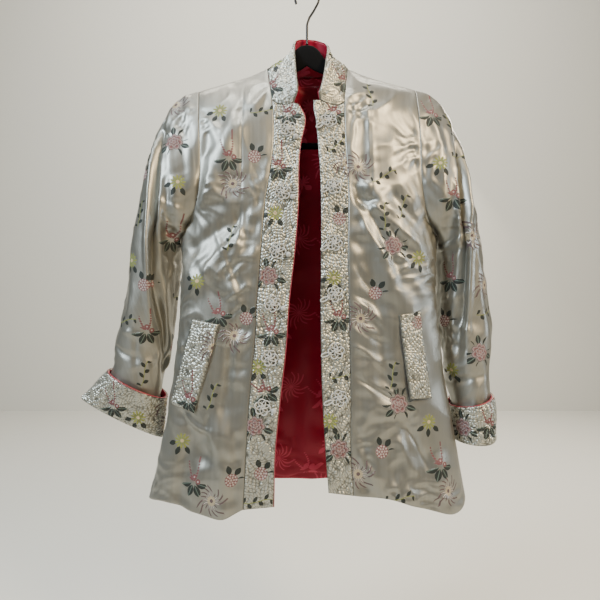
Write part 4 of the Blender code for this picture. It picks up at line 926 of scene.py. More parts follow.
def build_mesh(name, outer, inner, facing, materials, motifs, closed, lined, relief, bound):
    """Object with a wall between two grids, its cloth UV in metres and its motif UV.

    The inner grid is every second point of the outer one, moved in. Cloth UV is the length run
    across (U) and down (V). Relief, the height of the quilting, is kept as an attribute.
    """
    rows, columns = outer.shape[:2]
    points = np.concatenate([outer.reshape(-1, 3), inner.reshape(-1, 3)])
    out = grid_index(rows, columns, 0, closed)
    inn = grid_index(*inner.shape[:2], rows * columns, closed)
    wrapped = np.concatenate([outer, outer[:1]]) if closed else outer
    uv = np.stack(cloth_lengths(wrapped), axis=-1)
    quads = np.concatenate([corners(out), corners(inn)[:, ::-1]])
    quad_uv = np.concatenate([corners(uv), corners(uv[::2, ::2])[:, ::-1]])
    rims = [rim(out[:, 0], inn[:, 0]), rim(out[::-1, -1], inn[::-1, -1])]
    if not closed:
        rims += [rim(out[0, ::-1], inn[0, ::-1]), rim(out[-1], inn[-1])]
    tris = np.concatenate(rims)
    count = (len(wrapped) - 1) * (columns - 1)
    square = np.zeros((count, 4, 2))
    if motifs is not None:
        directions = np.concatenate([facing, facing[:1]]) if closed else facing
        cell_facing = unit(corners(directions).mean(axis=1))
        square = place_motifs(corners(wrapped), cell_facing, outer, facing, motifs)
    turned = np.cross(outer[1:, :-1] - outer[:-1, :-1], outer[:-1, 1:] - outer[:-1, :-1])
    if (turned * facing[:-1, :-1]).sum() < 0:
        quads, quad_uv, tris = quads[:, ::-1], quad_uv[:, ::-1], tris[:, ::-1]
        square = square[:, ::-1]
    flat_uv = np.concatenate([uv[:rows].reshape(-1, 2), uv[:rows:2, ::2].reshape(-1, 2)])
    loops = np.concatenate([quads.ravel(), tris.ravel()])
    sizes = np.concatenate([np.full(len(quads), 4), np.full(len(tris), 3)])
    starts = np.concatenate([[0], np.cumsum(sizes)[:-1]])
    mesh = bpy.data.meshes.new(name)
    mesh.vertices.add(len(points))
    mesh.vertices.foreach_set("co", points.astype(np.float32).ravel())
    mesh.loops.add(len(loops))
    mesh.loops.foreach_set("vertex_index", loops.astype(np.int32))
    mesh.polygons.add(len(sizes))
    mesh.polygons.foreach_set("loop_start", starts.astype(np.int32))
    mesh.update(calc_edges=True)
    mesh.validate()
    cloth_uv = np.concatenate([quad_uv.reshape(-1, 2), flat_uv[tris.ravel()]])
    motif_uv = np.zeros((len(loops), 2))
    motif_uv[: count * 4] = square.reshape(-1, 2)
    for label, values in (("cloth", cloth_uv), ("motif", motif_uv)):
        layer = mesh.uv_layers.new(name=label)
        layer.data.foreach_set("uv", values.astype(np.float32).ravel())
    # The quilting's height is kept for the quilted material, which paints shade into the stitched
    # valleys from it
    if relief is not None:
        heights = np.ones(len(points))
        heights[: rows * columns] = relief.ravel()
        kept = mesh.attributes.new("quilt", "FLOAT", "POINT")
        kept.data.foreach_set("value", heights.astype(np.float32))
    piece = new_piece(name, mesh, *materials)
    slots = np.zeros(len(sizes), dtype=np.int32)
    slots[count : len(quads)] = lined
    slots[len(quads) :] = bound
    mesh.polygons.foreach_set("material_index", slots)
    return piece


def cloth_piece(
    node,
    outer,
    inward,
    wall,
    materials,
    motifs=None,
    closed=False,
    lined=True,
    relief=None,
    bound=False,
):
    """A cloth wall in place of a node; its inner face is moved along the inward directions.

    A lined wall's inner face has the second material, and so have a bound wall's edges.
    """
    inner = (outer + inward * wall)[::2, ::2]
    piece = build_mesh(
        f"{node}_cloth", outer, inner, -inward, materials, motifs, closed, lined, relief, bound
    )
    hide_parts(node)
    return piece


# Materials


def put(tree, socket, value):
    """Links a socket to a value or an output, or sets it to a number or a colour."""
    source = value.socket if isinstance(value, Value) else value
    if isinstance(source, bpy.types.NodeSocket):
        tree.links.new(source, socket)
    else:
        socket.default_value = source


def binary(operation, turned=False):
    """A method that adds a Math node of two values; turned, the other value comes first."""

    def method(self, other):
        return self.math(operation, other, self) if turned else self.math(operation, self, other)

    return method


def single(operation):
    """A method that adds a Math node of one value."""

    def method(self):
        return self.math(operation, self)

    return method


class Value:
    """A number that a node tree works out: operators and methods add Math nodes to the tree."""

    def __init__(self, tree, socket):
        self.tree = tree
        self.socket = socket

    def math(self, operation, *values):
        """The result of a Math node."""
        node = self.tree.nodes.new("ShaderNodeMath")
        node.operation = operation
        for socket, value in zip(node.inputs, values):
            put(self.tree, socket, value)
        return Value(self.tree, node.outputs[0])

    def is_number(self, number):
        """1 where the value is the whole number."""
        return self.math("COMPARE", self, float(number), 0.1)

    __add__ = __radd__ = binary("ADD")
    __mul__ = __rmul__ = binary("MULTIPLY")
    __sub__ = binary("SUBTRACT")
    __rsub__ = binary("SUBTRACT", turned=True)
    __truediv__ = binary("DIVIDE")
    __lt__ = binary("LESS_THAN")
    __gt__ = binary("GREATER_THAN")
    least = binary("MINIMUM")
    most = binary("MAXIMUM")
    modulo = binary("MODULO")
    angle = binary("ARCTAN2")
    __abs__ = single("ABSOLUTE")
    root = single("SQRT")
    sine = single("SINE")
    cosine = single("COSINE")
    floor = single("FLOOR")
    fract = single("FRACT")


def mix(share, first, second):
    """Colour between two colours, the second one at share 1."""
    node = share.tree.nodes.new("ShaderNodeMix")
    node.data_type = "RGBA"
    for number, value in ((0, share), (6, first), (7, second)):
        put(share.tree, node.inputs[number], value)
    return node.outputs[2]


def new_group(name, inputs, outputs):
    """An empty node group with the named sockets, its input node and its output node."""
    tree = bpy.data.node_groups.new(name, "ShaderNodeTree")
    for way, sockets in (("INPUT", inputs), ("OUTPUT", outputs)):
        for label, kind in sockets.items():
            tree.interface.new_socket(label, in_out=way, socket_type=f"NodeSocket{kind}")
    return tree, tree.nodes.new("NodeGroupInput"), tree.nodes.new("NodeGroupOutput")


def use_group(tree, group, *values):
    """A group placed in a tree and fed with values."""
    node = tree.nodes.new("ShaderNodeGroup")
    node.node_tree = group
    for socket, value in zip(node.inputs, values):
        put(tree, socket, value)
    return node


def split_uv(tree, vector):
    """U and V of a vector."""
    node = tree.nodes.new("ShaderNodeSeparateXYZ")
    put(tree, node.inputs[0], vector)
    return Value(tree, node.outputs[0]), Value(tree, node.outputs[1])


def polar(x, y):
    """Distance from the middle, and angle."""
    return (x * x + y * y).root(), y.angle(x)


def in_ring(r, a, count, distance):
    """Coordinates along and across in the nearest of count places at a distance."""
    step = 2 * math.pi / count
    local = ((a / step + 0.5).fract() - 0.5) * step
    return r * local.cosine() - distance, r * local.sine()


def leaf(along, across, half_long, half_wide):
    """1 inside a pointed leaf: as wide as 1 - (along / half length)^2."""
    q = along / half_long
    return (1.0 - q * q) * half_wide - abs(across) > 0.0


def disc(along, across, radius):
    """1 inside a round dot."""
    return (along * along + across * across).root() < radius


def scallops(a, count, phase, rise):
    """Rounded lobes round an angle, from 0 to the rise."""
    return abs((a * (count / 2) + phase).cosine()) * rise


def towards(a, degrees, limit):
    """1 where the angle is near a direction: the cosine between them is over the limit."""
    return (a - math.radians(degrees)).cosine() > limit


ROSE = (0.135, 0.046, 0.050, 1.0)
PALE = (0.340, 0.285, 0.265, 1.0)
DARK_LEAF = (0.005, 0.009, 0.008, 1.0)
GREY_LEAF = (0.090, 0.120, 0.100, 1.0)
YELLOW_GREEN = (0.190, 0.205, 0.045, 1.0)
GOLD = (0.440, 0.350, 0.210, 1.0)
CREAM = (0.520, 0.470, 0.420, 1.0)
MAUVE = (0.085, 0.055, 0.058, 1.0)
HALF_VEIN = 0.025


def draw_peony(x, y):
    """A full flower: three rows of rounded petals with dark edges, among groups of leaves."""
    r, a = polar(x, y)
    petals = ((0.50, 0.14, 7, 0.3), (0.31, 0.12, 6, 1.1), (0.15, 0.09, 5, 0.5))
    colour = PALE
    blooms = []
    for base, rise, lobes, phase in petals:
        edge = base + scallops(a, lobes, phase, rise)
        depth = (edge - r) / 0.20
        shade = mix(depth.most(0.0).least(1.0), PALE, ROSE)
        shade = mix(abs(depth - 0.12) < 0.15, shade, MAUVE)
        blooms.append(r < edge)
        colour = mix(blooms[-1], colour, shade)
    along, across = in_ring(r, a + 0.35, 9, 0.86)
    leaves = leaf(along, across, 0.36, 0.19) * ((a * 3.0 + 1.2).cosine() > -0.25)
    green = mix(abs(across) < HALF_VEIN, DARK_LEAF, GREY_LEAF)
    return mix(blooms[0], green, colour), blooms[0].most(leaves)


def draw_chrysanthemum(x, y):
    """A spider flower: fine bent petals of uneven length, grey between, round a small heart."""
    r, a = polar(x, y)
    swirl = a + (r * 4.0).sine() * 0.24
    wave = (swirl * 15.0).cosine()
    reach = 0.92 + (swirl * 4.0).sine() * 0.22 + (swirl * 7.0).cosine() * 0.16
    limit = r / reach * 1.3 - 0.55
    flower = (wave > limit) * (r < reach)
    colour = mix(wave > limit + 0.80, MAUVE, CREAM)
    colour = mix(r < 0.30, colour, GOLD)
    heart = r < 0.12
    return mix(heart, colour, MAUVE), flower.most(heart)


def draw_aster(x, y):
    """A small yellow-green flower with three dark leaves below it."""
    r, a = polar(x, y)
    lobes = abs((a * 5.5).cosine())
    flower = r < 0.20 + lobes * 0.32
    colour = mix(lobes > 0.50, GREY_LEAF, YELLOW_GREEN)
    colour = mix(r < 0.12, colour, GOLD)
    leaves = leaf(*in_ring(r, a + 0.2, 7, 0.70), 0.30, 0.16) * towards(a, -110, 0.30)
    return mix(flower, DARK_LEAF, colour), flower.most(leaves)


def draw_ball(x, y):
    """A round flower of small pale dots with two dark leaves above it."""
    r, a = polar(x, y)
    flower = r < 0.42
    dots = r < 0.075
    for count, distance in ((6, 0.18), (11, 0.33)):
        dots = dots.most(disc(*in_ring(r, a, count, distance), 0.066))
    leaves = leaf(*in_ring(r, a, 7, 0.66), 0.30, 0.18) * towards(a, 70, 0.45)
    return mix(flower, DARK_LEAF, mix(dots, ROSE, PALE)), flower.most(leaves)


def draw_spray(x, y):
    """Plum blossom: two flowers, two rising lines of buds, and large dark leaves below."""
    r, a = polar(x, y)
    place = in_ring(r, a - 1.5, 5, 0.34)
    flowers = disc(*place, 0.17) * towards(a, 60, 0.0)
    hearts = disc(*place, 0.06) * flowers
    bloom = flowers
    bud_step = 0.17
    for slant, bend, phase in ((0.55, 0.30, 0.0), (-0.75, -0.25, 0.4)):
        along = ((y / bud_step + phase).fract() - 0.5) * bud_step
        across = x - y * (slant - y * bend)
        buds = disc(along, across, 0.095 - y * 0.035) * (abs(y - 0.72) < 0.62)
        bloom = bloom.most(buds)
    along, across = in_ring(r, a + 0.2, 7, 0.58)
    leaves = leaf(along, across, 0.42, 0.23) * towards(a, -85, 0.10)
    colour = mix(abs(across) < HALF_VEIN, DARK_LEAF, GREY_LEAF)
    colour = mix(bloom, colour, ROSE)
    return mix(hearts, colour, PALE), bloom.most(leaves)


def draw_sprig(x, y):
    """Dark leaves to either side of a bent stem."""
    leaf_step = 0.36
    bent = y - (x * 2.2).sine() * 0.14
    cell = x / leaf_step
    other = (abs(cell.floor()).modulo(2.0) - 0.5) * 2.0
    along = (cell.fract() - 0.5) * leaf_step
    across = bent * other - 0.17
    leaves = leaf(along * 0.6 + across * 0.8, across * 0.6 - along * 0.8, 0.22, 0.125)
    stem = abs(bent) < 0.022
    mask = leaves.most(stem) * (abs(x) < 0.90)
    return mix(stem, DARK_LEAF, YELLOW_GREEN), mask


DRAWINGS = (draw_peony, draw_chrysanthemum, draw_aster, draw_ball, draw_spray, draw_sprig)


def motif_group(kind):
    """A node group for one kind of motif, made once: X and Y in motif units to colour, mask."""
    name = KINDS[kind]
    if name in bpy.data.node_groups:
        return bpy.data.node_groups[name]
    tree, given, result = new_group(
        name, {"X": "Float", "Y": "Float"}, {"Colour": "Color", "Mask": "Float"}
    )
    drawn = DRAWINGS[kind](Value(tree, given.outputs["X"]), Value(tree, given.outputs["Y"]))
    for socket, value in zip(result.inputs, drawn):
        put(tree, socket, value)
    return tree


def brocade_group():
    """Motif UV to the woven colour and mask, by the kind that U's whole number tells."""
    name = "brocade motifs"
    if name in bpy.data.node_groups:
        return bpy.data.node_groups[name]
    tree, given, result = new_group(
        name, {"Motif": "Vector"}, {"Colour": "Color", "Mask": "Float"}
    )
    u, v = split_uv(tree, given.outputs[0])
    scale = MOTIF_CELL / MOTIF_UNIT
    x = (u.fract() - 0.5) * scale
    y = (v - 0.5) * scale
    colour, mask = PALE, 0.0
    for kind in range(len(KINDS)):
        motif = use_group(tree, motif_group(kind), x, y)
        this = u.floor().is_number(kind)
        colour = mix(this, colour, motif.outputs["Colour"])
        mask = this * motif.outputs["Mask"] + mask
    put(tree, result.inputs["Colour"], colour)
    put(tree, result.inputs["Mask"], mask * (v > 0.001))
    return tree


def weave_group():
    """Cloth UV in metres to the satin's fine streaks and its soft shading, both near 0.5."""
    name = "satin weave"
    if name in bpy.data.node_groups:
        return bpy.data.node_groups[name]
    tree, given, result = new_group(
        name, {"Cloth": "Vector"}, {"Height": "Float", "Streak": "Float"}
    )
    for label, scale, detail in (
        ("Height", (2600.0, 420.0, 1.0), 2.0),
        ("Streak", (160.0, 9.0, 1.0), 3.0),
    ):
        mapping = tree.nodes.new("ShaderNodeMapping")
        mapping.inputs["Scale"].default_value = scale
        put(tree, mapping.inputs["Vector"], given.outputs[0])
        noise = tree.nodes.new("ShaderNodeTexNoise")
        noise.noise_dimensions = "2D"
        noise.inputs["Scale"].default_value = 1.0
        noise.inputs["Detail"].default_value = detail
        put(tree, noise.inputs["Vector"], mapping.outputs[0])
        put(tree, result.inputs[label], noise.outputs[0])
    return tree


def jacquard_group():
    """Cloth UV to the mask of the lining's flowers, each kind in a half-drop repeat."""
    name = "lining jacquard"
    if name in bpy.data.node_groups:
        return bpy.data.node_groups[name]
    tree, given, result = new_group(name, {"Cloth": "Vector"}, {"Mask": "Float"})
    across, down = split_uv(tree, given.outputs[0])
    mask = 0.0
    for number, (kind, shift) in enumerate(((MUM, 0.0), (SPRAY, 0.5), (ASTER, 0.28))):
        u = across / 0.120 + shift
        drop = abs(u.floor()).modulo(2.0) * 0.5
        v = down / 0.132 + drop + 0.37 * number
        x = (u.fract() - 0.5) * 4.4
        y = (0.5 - v.fract()) * 5.0
        motif = use_group(tree, motif_group(kind), x * 0.8 + y * 0.6, y * 0.8 - x * 0.6)
        mask = Value(tree, motif.outputs["Mask"]).most(mask)
    put(tree, result.inputs["Mask"], mask)
    return tree


def new_material(name):
    """A material, its node tree and its Principled shader."""
    made = bpy.data.materials.new(name)
    made.use_nodes = True
    return made, made.node_tree, made.node_tree.nodes["Principled BSDF"]


def uv_output(tree, layer):
    """A UV layer's output."""
    node = tree.nodes.new("ShaderNodeUVMap")
    node.uv_map = layer
    return node.outputs[0]


def add_bump(tree, shader, height, distance):
    """A bump of the height, in metres at height 1, on the shader."""
    bump = tree.nodes.new("ShaderNodeBump")
    bump.inputs["Distance"].default_value = distance
    put(tree, bump.inputs["Height"], height)
    put(tree, shader.inputs["Normal"], bump.outputs[0])


def brocade_material(name, ground, metallic, roughness, quilting):
    """Satin with woven motifs, and painted shade darkening the quilting's stitched valleys; made
    once.
    """
    if name in bpy.data.materials:
        return bpy.data.materials[name]
    made, tree, shader = new_material(name)
    woven = use_group(tree, brocade_group(), uv_output(tree, "motif"))
    weave = use_group(tree, weave_group(), uv_output(tree, "cloth"))
    mask = Value(tree, woven.outputs["Mask"])
    streak = Value(tree, weave.outputs["Streak"])
    tone = 0.90 + streak * 0.20
    # Painted shade: the quilted satin's colour gets darker towards the stitched valleys, by the
    # kept bump height
    if quilting:
        relief = tree.nodes.new("ShaderNodeAttribute")
        relief.attribute_name = "quilt"
        painted_valley_shade = (Value(tree, relief.outputs["Fac"]) * 1.7).least(1.0)
        tone = tone * (0.30 + painted_valley_shade * 0.72)
    shade = tree.nodes.new("ShaderNodeVectorMath")
    shade.operation = "SCALE"
    shade.inputs[0].default_value = ground
    put(tree, shade.inputs["Scale"], tone)
    colour = mix(mask * 0.94, shade.outputs[0], woven.outputs["Colour"])
    put(tree, shader.inputs["Base Color"], colour)
    put(tree, shader.inputs["Metallic"], (1.0 - mask) * metallic)
    put(tree, shader.inputs["Roughness"], streak * 0.10 + (roughness - 0.05) + mask * 0.16)
    threads = tree.nodes.new("ShaderNodeTangent")
    threads.direction_type = "UV_MAP"
    threads.uv_map = "cloth"
    put(tree, shader.inputs["Tangent"], threads.outputs[0])
    shader.inputs["Specular IOR Level"].default_value = 0.2
    shader.inputs["Anisotropic"].default_value = 0.0 if quilting else 0.45
    height = Value(tree, weave.outputs["Height"]) * 0.25 + mask * 0.75
    add_bump(tree, shader, height, THREAD_RISE)
    return made


def satin():
    """The brocade's satin."""
    colours = bpy.context.scene.jacket_colours
    return brocade_material("silver satin", tuple(colours.satin), 0.78, 0.40, False)


def quilted():
    """The quilted brocade."""
    colours = bpy.context.scene.jacket_colours
    return brocade_material("quilted satin", tuple(colours.quilt), 0.70, 0.34, True)


def lining():
    """The crimson lining with its tone-on-tone flowers; made once."""
    name = "crimson lining"
    if name in bpy.data.materials:
        return bpy.data.materials[name]
    colours = bpy.context.scene.jacket_colours
    made, tree, shader = new_material(name)
    cloth = uv_output(tree, "cloth")
    figure = Value(tree, use_group(tree, jacquard_group(), cloth).outputs["Mask"])
    weave = use_group(tree, weave_group(), cloth)
    colour = mix(figure * 0.8, (*colours.lining, 1.0), (*colours.figure, 1.0))
    put(tree, shader.inputs["Base Color"], colour)
    put(tree, shader.inputs["Roughness"], 0.42 + figure * 0.10)
    shader.inputs["Specular IOR Level"].default_value = 0.22
    add_bump(tree, shader, weave.outputs["Height"], LINING_RISE)
    return made


def plain_material(
    name, colour, roughness, metallic=0.0, sheen=0.0, specular=0.5, grain=0.0, scale=2000.0
):
    """One colour with a fine grain in its surface; made once."""
    if name in bpy.data.materials:
        return bpy.data.materials[name]
    made, tree, shader = new_material(name)
    shader.inputs["Base Color"].default_value = (*colour, 1.0)
    shader.inputs["Roughness"].default_value = roughness
    shader.inputs["Metallic"].default_value = metallic
    shader.inputs["Sheen Weight"].default_value = sheen
    shader.inputs["Specular IOR Level"].default_value = specular
    if grain:
        place = tree.nodes.new("ShaderNodeTexCoord")
        noise = tree.nodes.new("ShaderNodeTexNoise")
        noise.inputs["Scale"].default_value = scale
        put(tree, noise.inputs["Vector"], place.outputs["Object"])
        add_bump(tree, shader, noise.outputs[0], grain)
    return made


def cord_material():
    """White satin cord."""
    colour = tuple(bpy.context.scene.jacket_colours.cord)
    return plain_material("white cord", colour, 0.42, sheen=0.2, grain=0.0002)


def piping_material():
    """Fine dull-pink piping."""
    colour = tuple(bpy.context.scene.jacket_colours.piping)
    return plain_material("rose piping", colour, 0.45, grain=0.0001)


def velvet_material():
    """Black flocked velvet."""
    colour = tuple(bpy.context.scene.jacket_colours.velvet)
    return plain_material(
        "black velvet", colour, 0.95, sheen=0.04, specular=0.1, grain=0.0003, scale=900.0
    )


def wire_material():
    """Dark steel wire."""
    colour = tuple(bpy.context.scene.jacket_colours.wire)
    return plain_material("dark wire", colour, 0.32, metallic=1.0)


# Pieces


def edge_window(shape, reach, closed=False):
    """1 inside a grid, falling smoothly to 0 over reach points at its free edges."""
    column = np.arange(shape[1])
    window = smooth_step(np.minimum(column, column[::-1]), reach)[None, :]
    if not closed:
        row = np.arange(shape[0])
        window = window * smooth_step(np.minimum(row, row[::-1]), reach)[:, None]
    return np.broadcast_to(window, shape)


def worn_sheet(name, sheet, facing, window):
    """A satin grid with its placed creases and its crumple added along its facing."""
    sizes = bpy.context.scene.jacket_sizes
    depth = crease_depth(CREASES[name], sheet[..., 0], sheet[..., 2]) * sizes.crease_depth
    depth = depth + crumple_height(sheet, SEEDS[name]) * sizes.crumple
    return sheet + facing * (depth * window)[..., None]


def jacket_sheets():
    """Plain grids of both fronts, the back and both bands."""
    fronts = {side: front_sheet(side) for side in SIDES}
    bands = {side: band_sheet(side, fronts[side][NECK_STEPS:, 0]) for side in SIDES}
    return fronts, back_sheet(), bands


def dart_groove(sheet, x, top, bottom, depth):
    """Depth of a stitched line down a front: a narrow groove with the cloth drawn to it."""
    near = np.exp(-(((sheet[..., 0] - x) / 0.0016) ** 2))
    level = smooth_step(top - sheet[..., 2], 0.01) * smooth_step(sheet[..., 2] - bottom, 0.01)
    return near * level * depth


def puckers(distance, run, seed, pitch, reach):
    """Short gathers at right angles to a seam: waves along it that fade with the distance."""
    wave = ripples(np.stack([run, 0.3 * distance], axis=-1), pitch, seed, 10)
    return wave * np.exp(-distance / reach) * smooth_step(distance, 0.004)


def make_fronts():
    """Both satin fronts."""
    sizes = bpy.context.scene.jacket_sizes
    for side, sign in SIDES.items():
        name = f"front_{side}"
        sheet = front_sheet(side)
        facing = normals(sheet, FORWARD)
        window = edge_window(sheet.shape[:2], EDGE_REACH)
        u, v = cloth_lengths(sheet)
        outer = worn_sheet(name, sheet, facing, window)
        low = smooth_step(-0.26 - sheet[..., 2], 0.08)
        gather = puckers(u, v, GATHER_SEEDS[side], 0.028, 0.030) * 0.0016 * low
        groove = dart_groove(sheet, DARTS[side], *DART_LEVELS, 0.0007)
        outer = outer + facing * ((gather - groove) * window)[..., None]
        outer = pull_in(outer, ("top", "first", "last"))
        inward = -facing
        inward[0] = DOWNWARD
        inward[ARM_STEPS:, -1] = (-sign, 0.0, 0.0)
        inward[:NECK_STEPS, 0] = neck_inward(sheet[:NECK_STEPS, 0])
        inward[: ARM_STEPS + 1, -1] = arm_inward(BACKWARD[1])
        inward = ease_in(inward, rows=(0,), columns=(0, -1))
        piece = cloth_piece(
            name, outer, inward, sizes.cloth_wall, (satin(), lining()),
            motifs=[(FROM_FRONT, motif_rows(name))]
        )


def make_back():
    """The satin back and its crimson lining."""
    sizes = bpy.context.scene.jacket_sizes
    sheet = back_sheet()
    facing = normals(sheet, BACKWARD)
    window = edge_window(sheet.shape[:2], EDGE_REACH)
    outer = worn_sheet("back", sheet, facing, window)
    outer = pull_in(outer, ("top", "first", "last"))
    inward = -facing
    inward[0] = DOWNWARD
    middle = BACK_STEPS // 2
    reach = round(middle * NECK_SHARE)
    neck = slice(middle - reach, middle + reach + 1)
    inward[0, neck] = neck_inward(sheet[0, neck])
    for column, sign in zip((0, -1), SIDES.values()):
        inward[ARM_STEPS:, column] = (-sign, 0.0, 0.0)
        inward[: ARM_STEPS + 1, column] = arm_inward(FORWARD[1])
    inward = ease_in(inward, rows=(0,), columns=(0, -1))
    piece = cloth_piece(
        "back", outer, inward, sizes.cloth_wall, (satin(), lining()),
        motifs=[(FROM_BEHIND, hidden_rows((-0.25, -0.83), (0.26, -0.16)))], bound=True
    )
    part = slice(8, sheet.shape[0] - 4, 2), slice(20, sheet.shape[1] - 20, 2)
    near = (outer - facing * (sizes.cloth_wall + BACK_LINING_GAP))[part]
    loose = ripples(near, 0.060, SEEDS["lining_back"], 12) * SOFT_FOLD
    loose = loose * edge_window(near.shape[:2], 10)
    near = near - facing[part] * (loose + SOFT_FOLD)[..., None]
    hem = smooth_step(-0.79 - near[..., 2], 0.05)
    near[..., 2] += hem * 0.0045 * np.sin(62 * near[..., 0] + 0.9)
    # The lining's shown face looks forward, so its grid is the outer one here
    face = near - facing[part] * LINING_WALL
    piece = cloth_piece("lining_back", face, facing[part], LINING_WALL, (lining(),), lined=False)


def band_sheet(side, seam):
    """A band: straight lines from the front's edge to the free edge, dipped at the neckline."""
    rows = ROWS[NECK_STEPS:]
    edge = columns_at(BAND_EDGE[side], "v", "x y z", rows)
    edge[:, 0] *= SIDES[side]
    steps = fine_steps(BAND_WIDTH)
    share = np.linspace(0, 1, steps + 1)
    sheet = seam[:, None] * (1 - share[None, :, None]) + edge[:, None] * share[None, :, None]
    dip = np.interp(share, np.linspace(0, 1, len(BAND_TOP_DIP[side])), BAND_TOP_DIP[side])
    gap = ARMPIT / 9
    level = np.interp(rows, [BAND_START, BAND_START + gap, BAND_START + 2 * gap], [1.0, 0.4, 0.0])
    sheet[..., 2] += level[:, None] * dip[None, :]
    return sheet


def fine_steps(length):
    """Even number of fine steps in a length."""
    return 2 * round(length / FINE_STEP / 2)


def fine_rows(sheet):
    """The grid with its rows spread to about a fine step along the cloth."""
    middle = sheet[:, sheet.shape[1] // 2]
    run = line_lengths(middle)
    count = fine_steps(run[-1])
    at = np.interp(np.linspace(0, run[-1], count + 1), run, np.arange(len(run)))
    low = np.minimum(at.astype(int), len(run) - 2)
    share = (at - low)[:, None, None]
    return sheet[low] * (1 - share) + sheet[low + 1] * share


def quilt(name, sheet, facing, closed=False):
    """A quilted grid: bumps between stitched zero lines, faded at the seams and edges."""
    sizes = bpy.context.scene.jacket_sizes
    seed = SEEDS[name]
    u, v = cloth_lengths(sheet)
    bumps = pebbles(u, v, sizes.quilt_pitch, seed)
    if closed:
        share = smooth_step(np.arange(sheet.shape[0]) / sheet.shape[0] - 0.9, 0.1)[:, None]
        girth = v[-1:] + np.linalg.norm(sheet[:1] - sheet[-1:], axis=-1)
        bumps = bumps * (1 - share) + pebbles(u, v - girth, sizes.quilt_pitch, seed) * share
    bumps = bumps * edge_window(sheet.shape[:2], 2.5, closed)
    soft = ripples(sheet, 0.040, seed + 1, 12) * edge_window(sheet.shape[:2], 8, closed)
    height = bumps * sizes.quilt_rise + soft * 0.0007
    return sheet + facing * height[..., None], bumps


def make_bands():
    """Both quilted bands along the open front edges."""
    sizes = bpy.context.scene.jacket_sizes
    _, _, bands = jacket_sheets()
    for side in SIDES:
        name = f"band_{side}"
        sheet = fine_rows(bands[side])
        facing = normals(sheet, FORWARD)
        outer, relief = quilt(name, pull_in(sheet, ("top", "first")), facing)
        inward = -facing
        inward[0] = neck_inward(sheet[0])
        inward = ease_in(inward, rows=(0,))
        piece = cloth_piece(
            name, outer, inward, sizes.quilt_wall, (quilted(), lining()),
            motifs=[(FROM_FRONT, motif_rows(name))], relief=relief
        )


def neckline(fronts, back, bands):
    """The neckline, from the right band's end round the back to the left band's end, halved."""
    middle = back.shape[1] // 2
    reach = round(middle * NECK_SHARE)
    halves = []
    for side, step in (("right", -1), ("left", 1)):
        band = bands[side][0]
        run = band[: round(0.8 * (len(band) - 1)) + 1][::-1]
        front = fronts[side][NECK_STEPS - 1 : 0 : -1, 0]
        neck = back[0, middle + step * reach :: -step][: reach + 1]
        halves.append(np.concatenate([run, front, neck]))
    return halves


def make_collar():
    """The quilted standing collar and its crimson lining."""
    sizes = bpy.context.scene.jacket_sizes
    base_halves = neckline(*jacket_sheets())
    bases, tops = [], []
    for half, (side, sign) in zip(base_halves, SIDES.items()):
        rows = COLLAR_TOP[side]
        count = fine_steps(line_lengths(half)[-1]) + 1
        bases.append(resample(half, count))
        line = np.stack([rows["x"] * sign, rows["y"], rows["z"]], axis=-1)
        at = line_lengths(line)
        wanted = np.linspace(0, 1, count)
        tops.append(np.stack([curve(at / at[-1], line[:, k], wanted) for k in range(3)], axis=-1))
    base = np.concatenate([bases[0], bases[1][-2::-1]])
    top = np.concatenate([tops[0], tops[1][-2::-1]])
    share = np.linspace(0, 1, fine_steps(COLLAR_HEIGHT) + 1)[None, :, None]
    sheet = base[:, None] * (1 - share) + top[:, None] * share
    sheet = pull_in(sheet, ("first",))
    facing = normals(sheet, (sheet - NECK_CENTRE) * np.array([1.0, 1.0, 0.0]))
    inward = neck_inward(base)[:, None] * (1 - share) - facing[:, -1:] * share
    outer, relief = quilt("collar", sheet, -inward)
    piece = cloth_piece(
        "collar", outer, inward, sizes.quilt_wall, (quilted(), lining()),
        motifs=[(FROM_FRONT, motif_rows("collar"))], relief=relief
    )
    near = sheet + inward * (sizes.quilt_wall + COLLAR_LINING_GAP)
    near, outward = near[:, :-2], -inward[:, :-2]
    piece = cloth_piece("collar_lining", near, outward, LINING_WALL, (lining(),), lined=False)


def ring(rows, side, at, count):
    """Tilted ellipses of a table at its row numbers; each starts outermost, over the front."""
    names = "x y z half_wide half_deep tilt"
    numbered = {**rows, "row": np.arange(len(rows["x"]))}
    x, y, z, wide, deep, tilt = columns_at(numbered, "row", names, at).T[:, :, None]
    angle = full_turn(count)[None, :]
    lean = np.radians(tilt)
    along = np.cos(angle) * wide
    sign = SIDES[side]
    points = [
        sign * (x + along * np.cos(lean)),
        y - np.sin(angle) * deep,
        z + along * np.sin(lean),
    ]
    return np.stack(np.broadcast_arrays(*points), axis=-1)


def sleeve_sheet(side, loop):
    """A sleeve: rows round it; columns from the armhole by Bezier curves, then by rings."""
    sign = SIDES[side]
    count = len(loop)
    angle = full_turn(count)
    rows = SLEEVE[side]
    at = np.linspace(0, len(rows["x"]) - 1, RING_STEPS + 1)
    rings = ring(rows, side, at, count)
    pleat = curve(np.arange(len(rows["x"])), rows["pleat"], at)
    centre = rings.mean(axis=1, keepdims=True)
    groove = np.exp(-(((angle - PLEAT_ANGLE) / PLEAT_SPREAD) ** 2))[None, :, None]
    rings = rings - unit(rings - centre) * groove * pleat[:, None, None]
    top = np.clip(np.cos(angle), 0, 1)[:, None] ** 2
    pit = np.clip(-np.cos(angle), 0, 1)[:, None] ** 2
    side_share = np.sin(angle)[:, None] ** 2
    leave = (
        top * np.array([sign * 0.075, 0.0, -0.010])
        + side_share * np.array([sign * 0.026, 0.0, -0.040])
        + pit * np.array([sign * 0.008, 0.0, -0.001])
    )
    leave[:, 1] -= 0.010 * np.sin(angle) ** 3
    upward = unit(rings[0] - rings[1])
    arrive = upward * (top * 0.150 + side_share * 0.070 + pit * 0.010)
    share = np.linspace(0, 1, HEAD_STEPS + 1)[:-1]
    head = bezier_rows(loop, loop + leave, rings[0] + arrive, rings[0], share)
    return np.concatenate([head, rings.transpose(1, 0, 2)], axis=1)


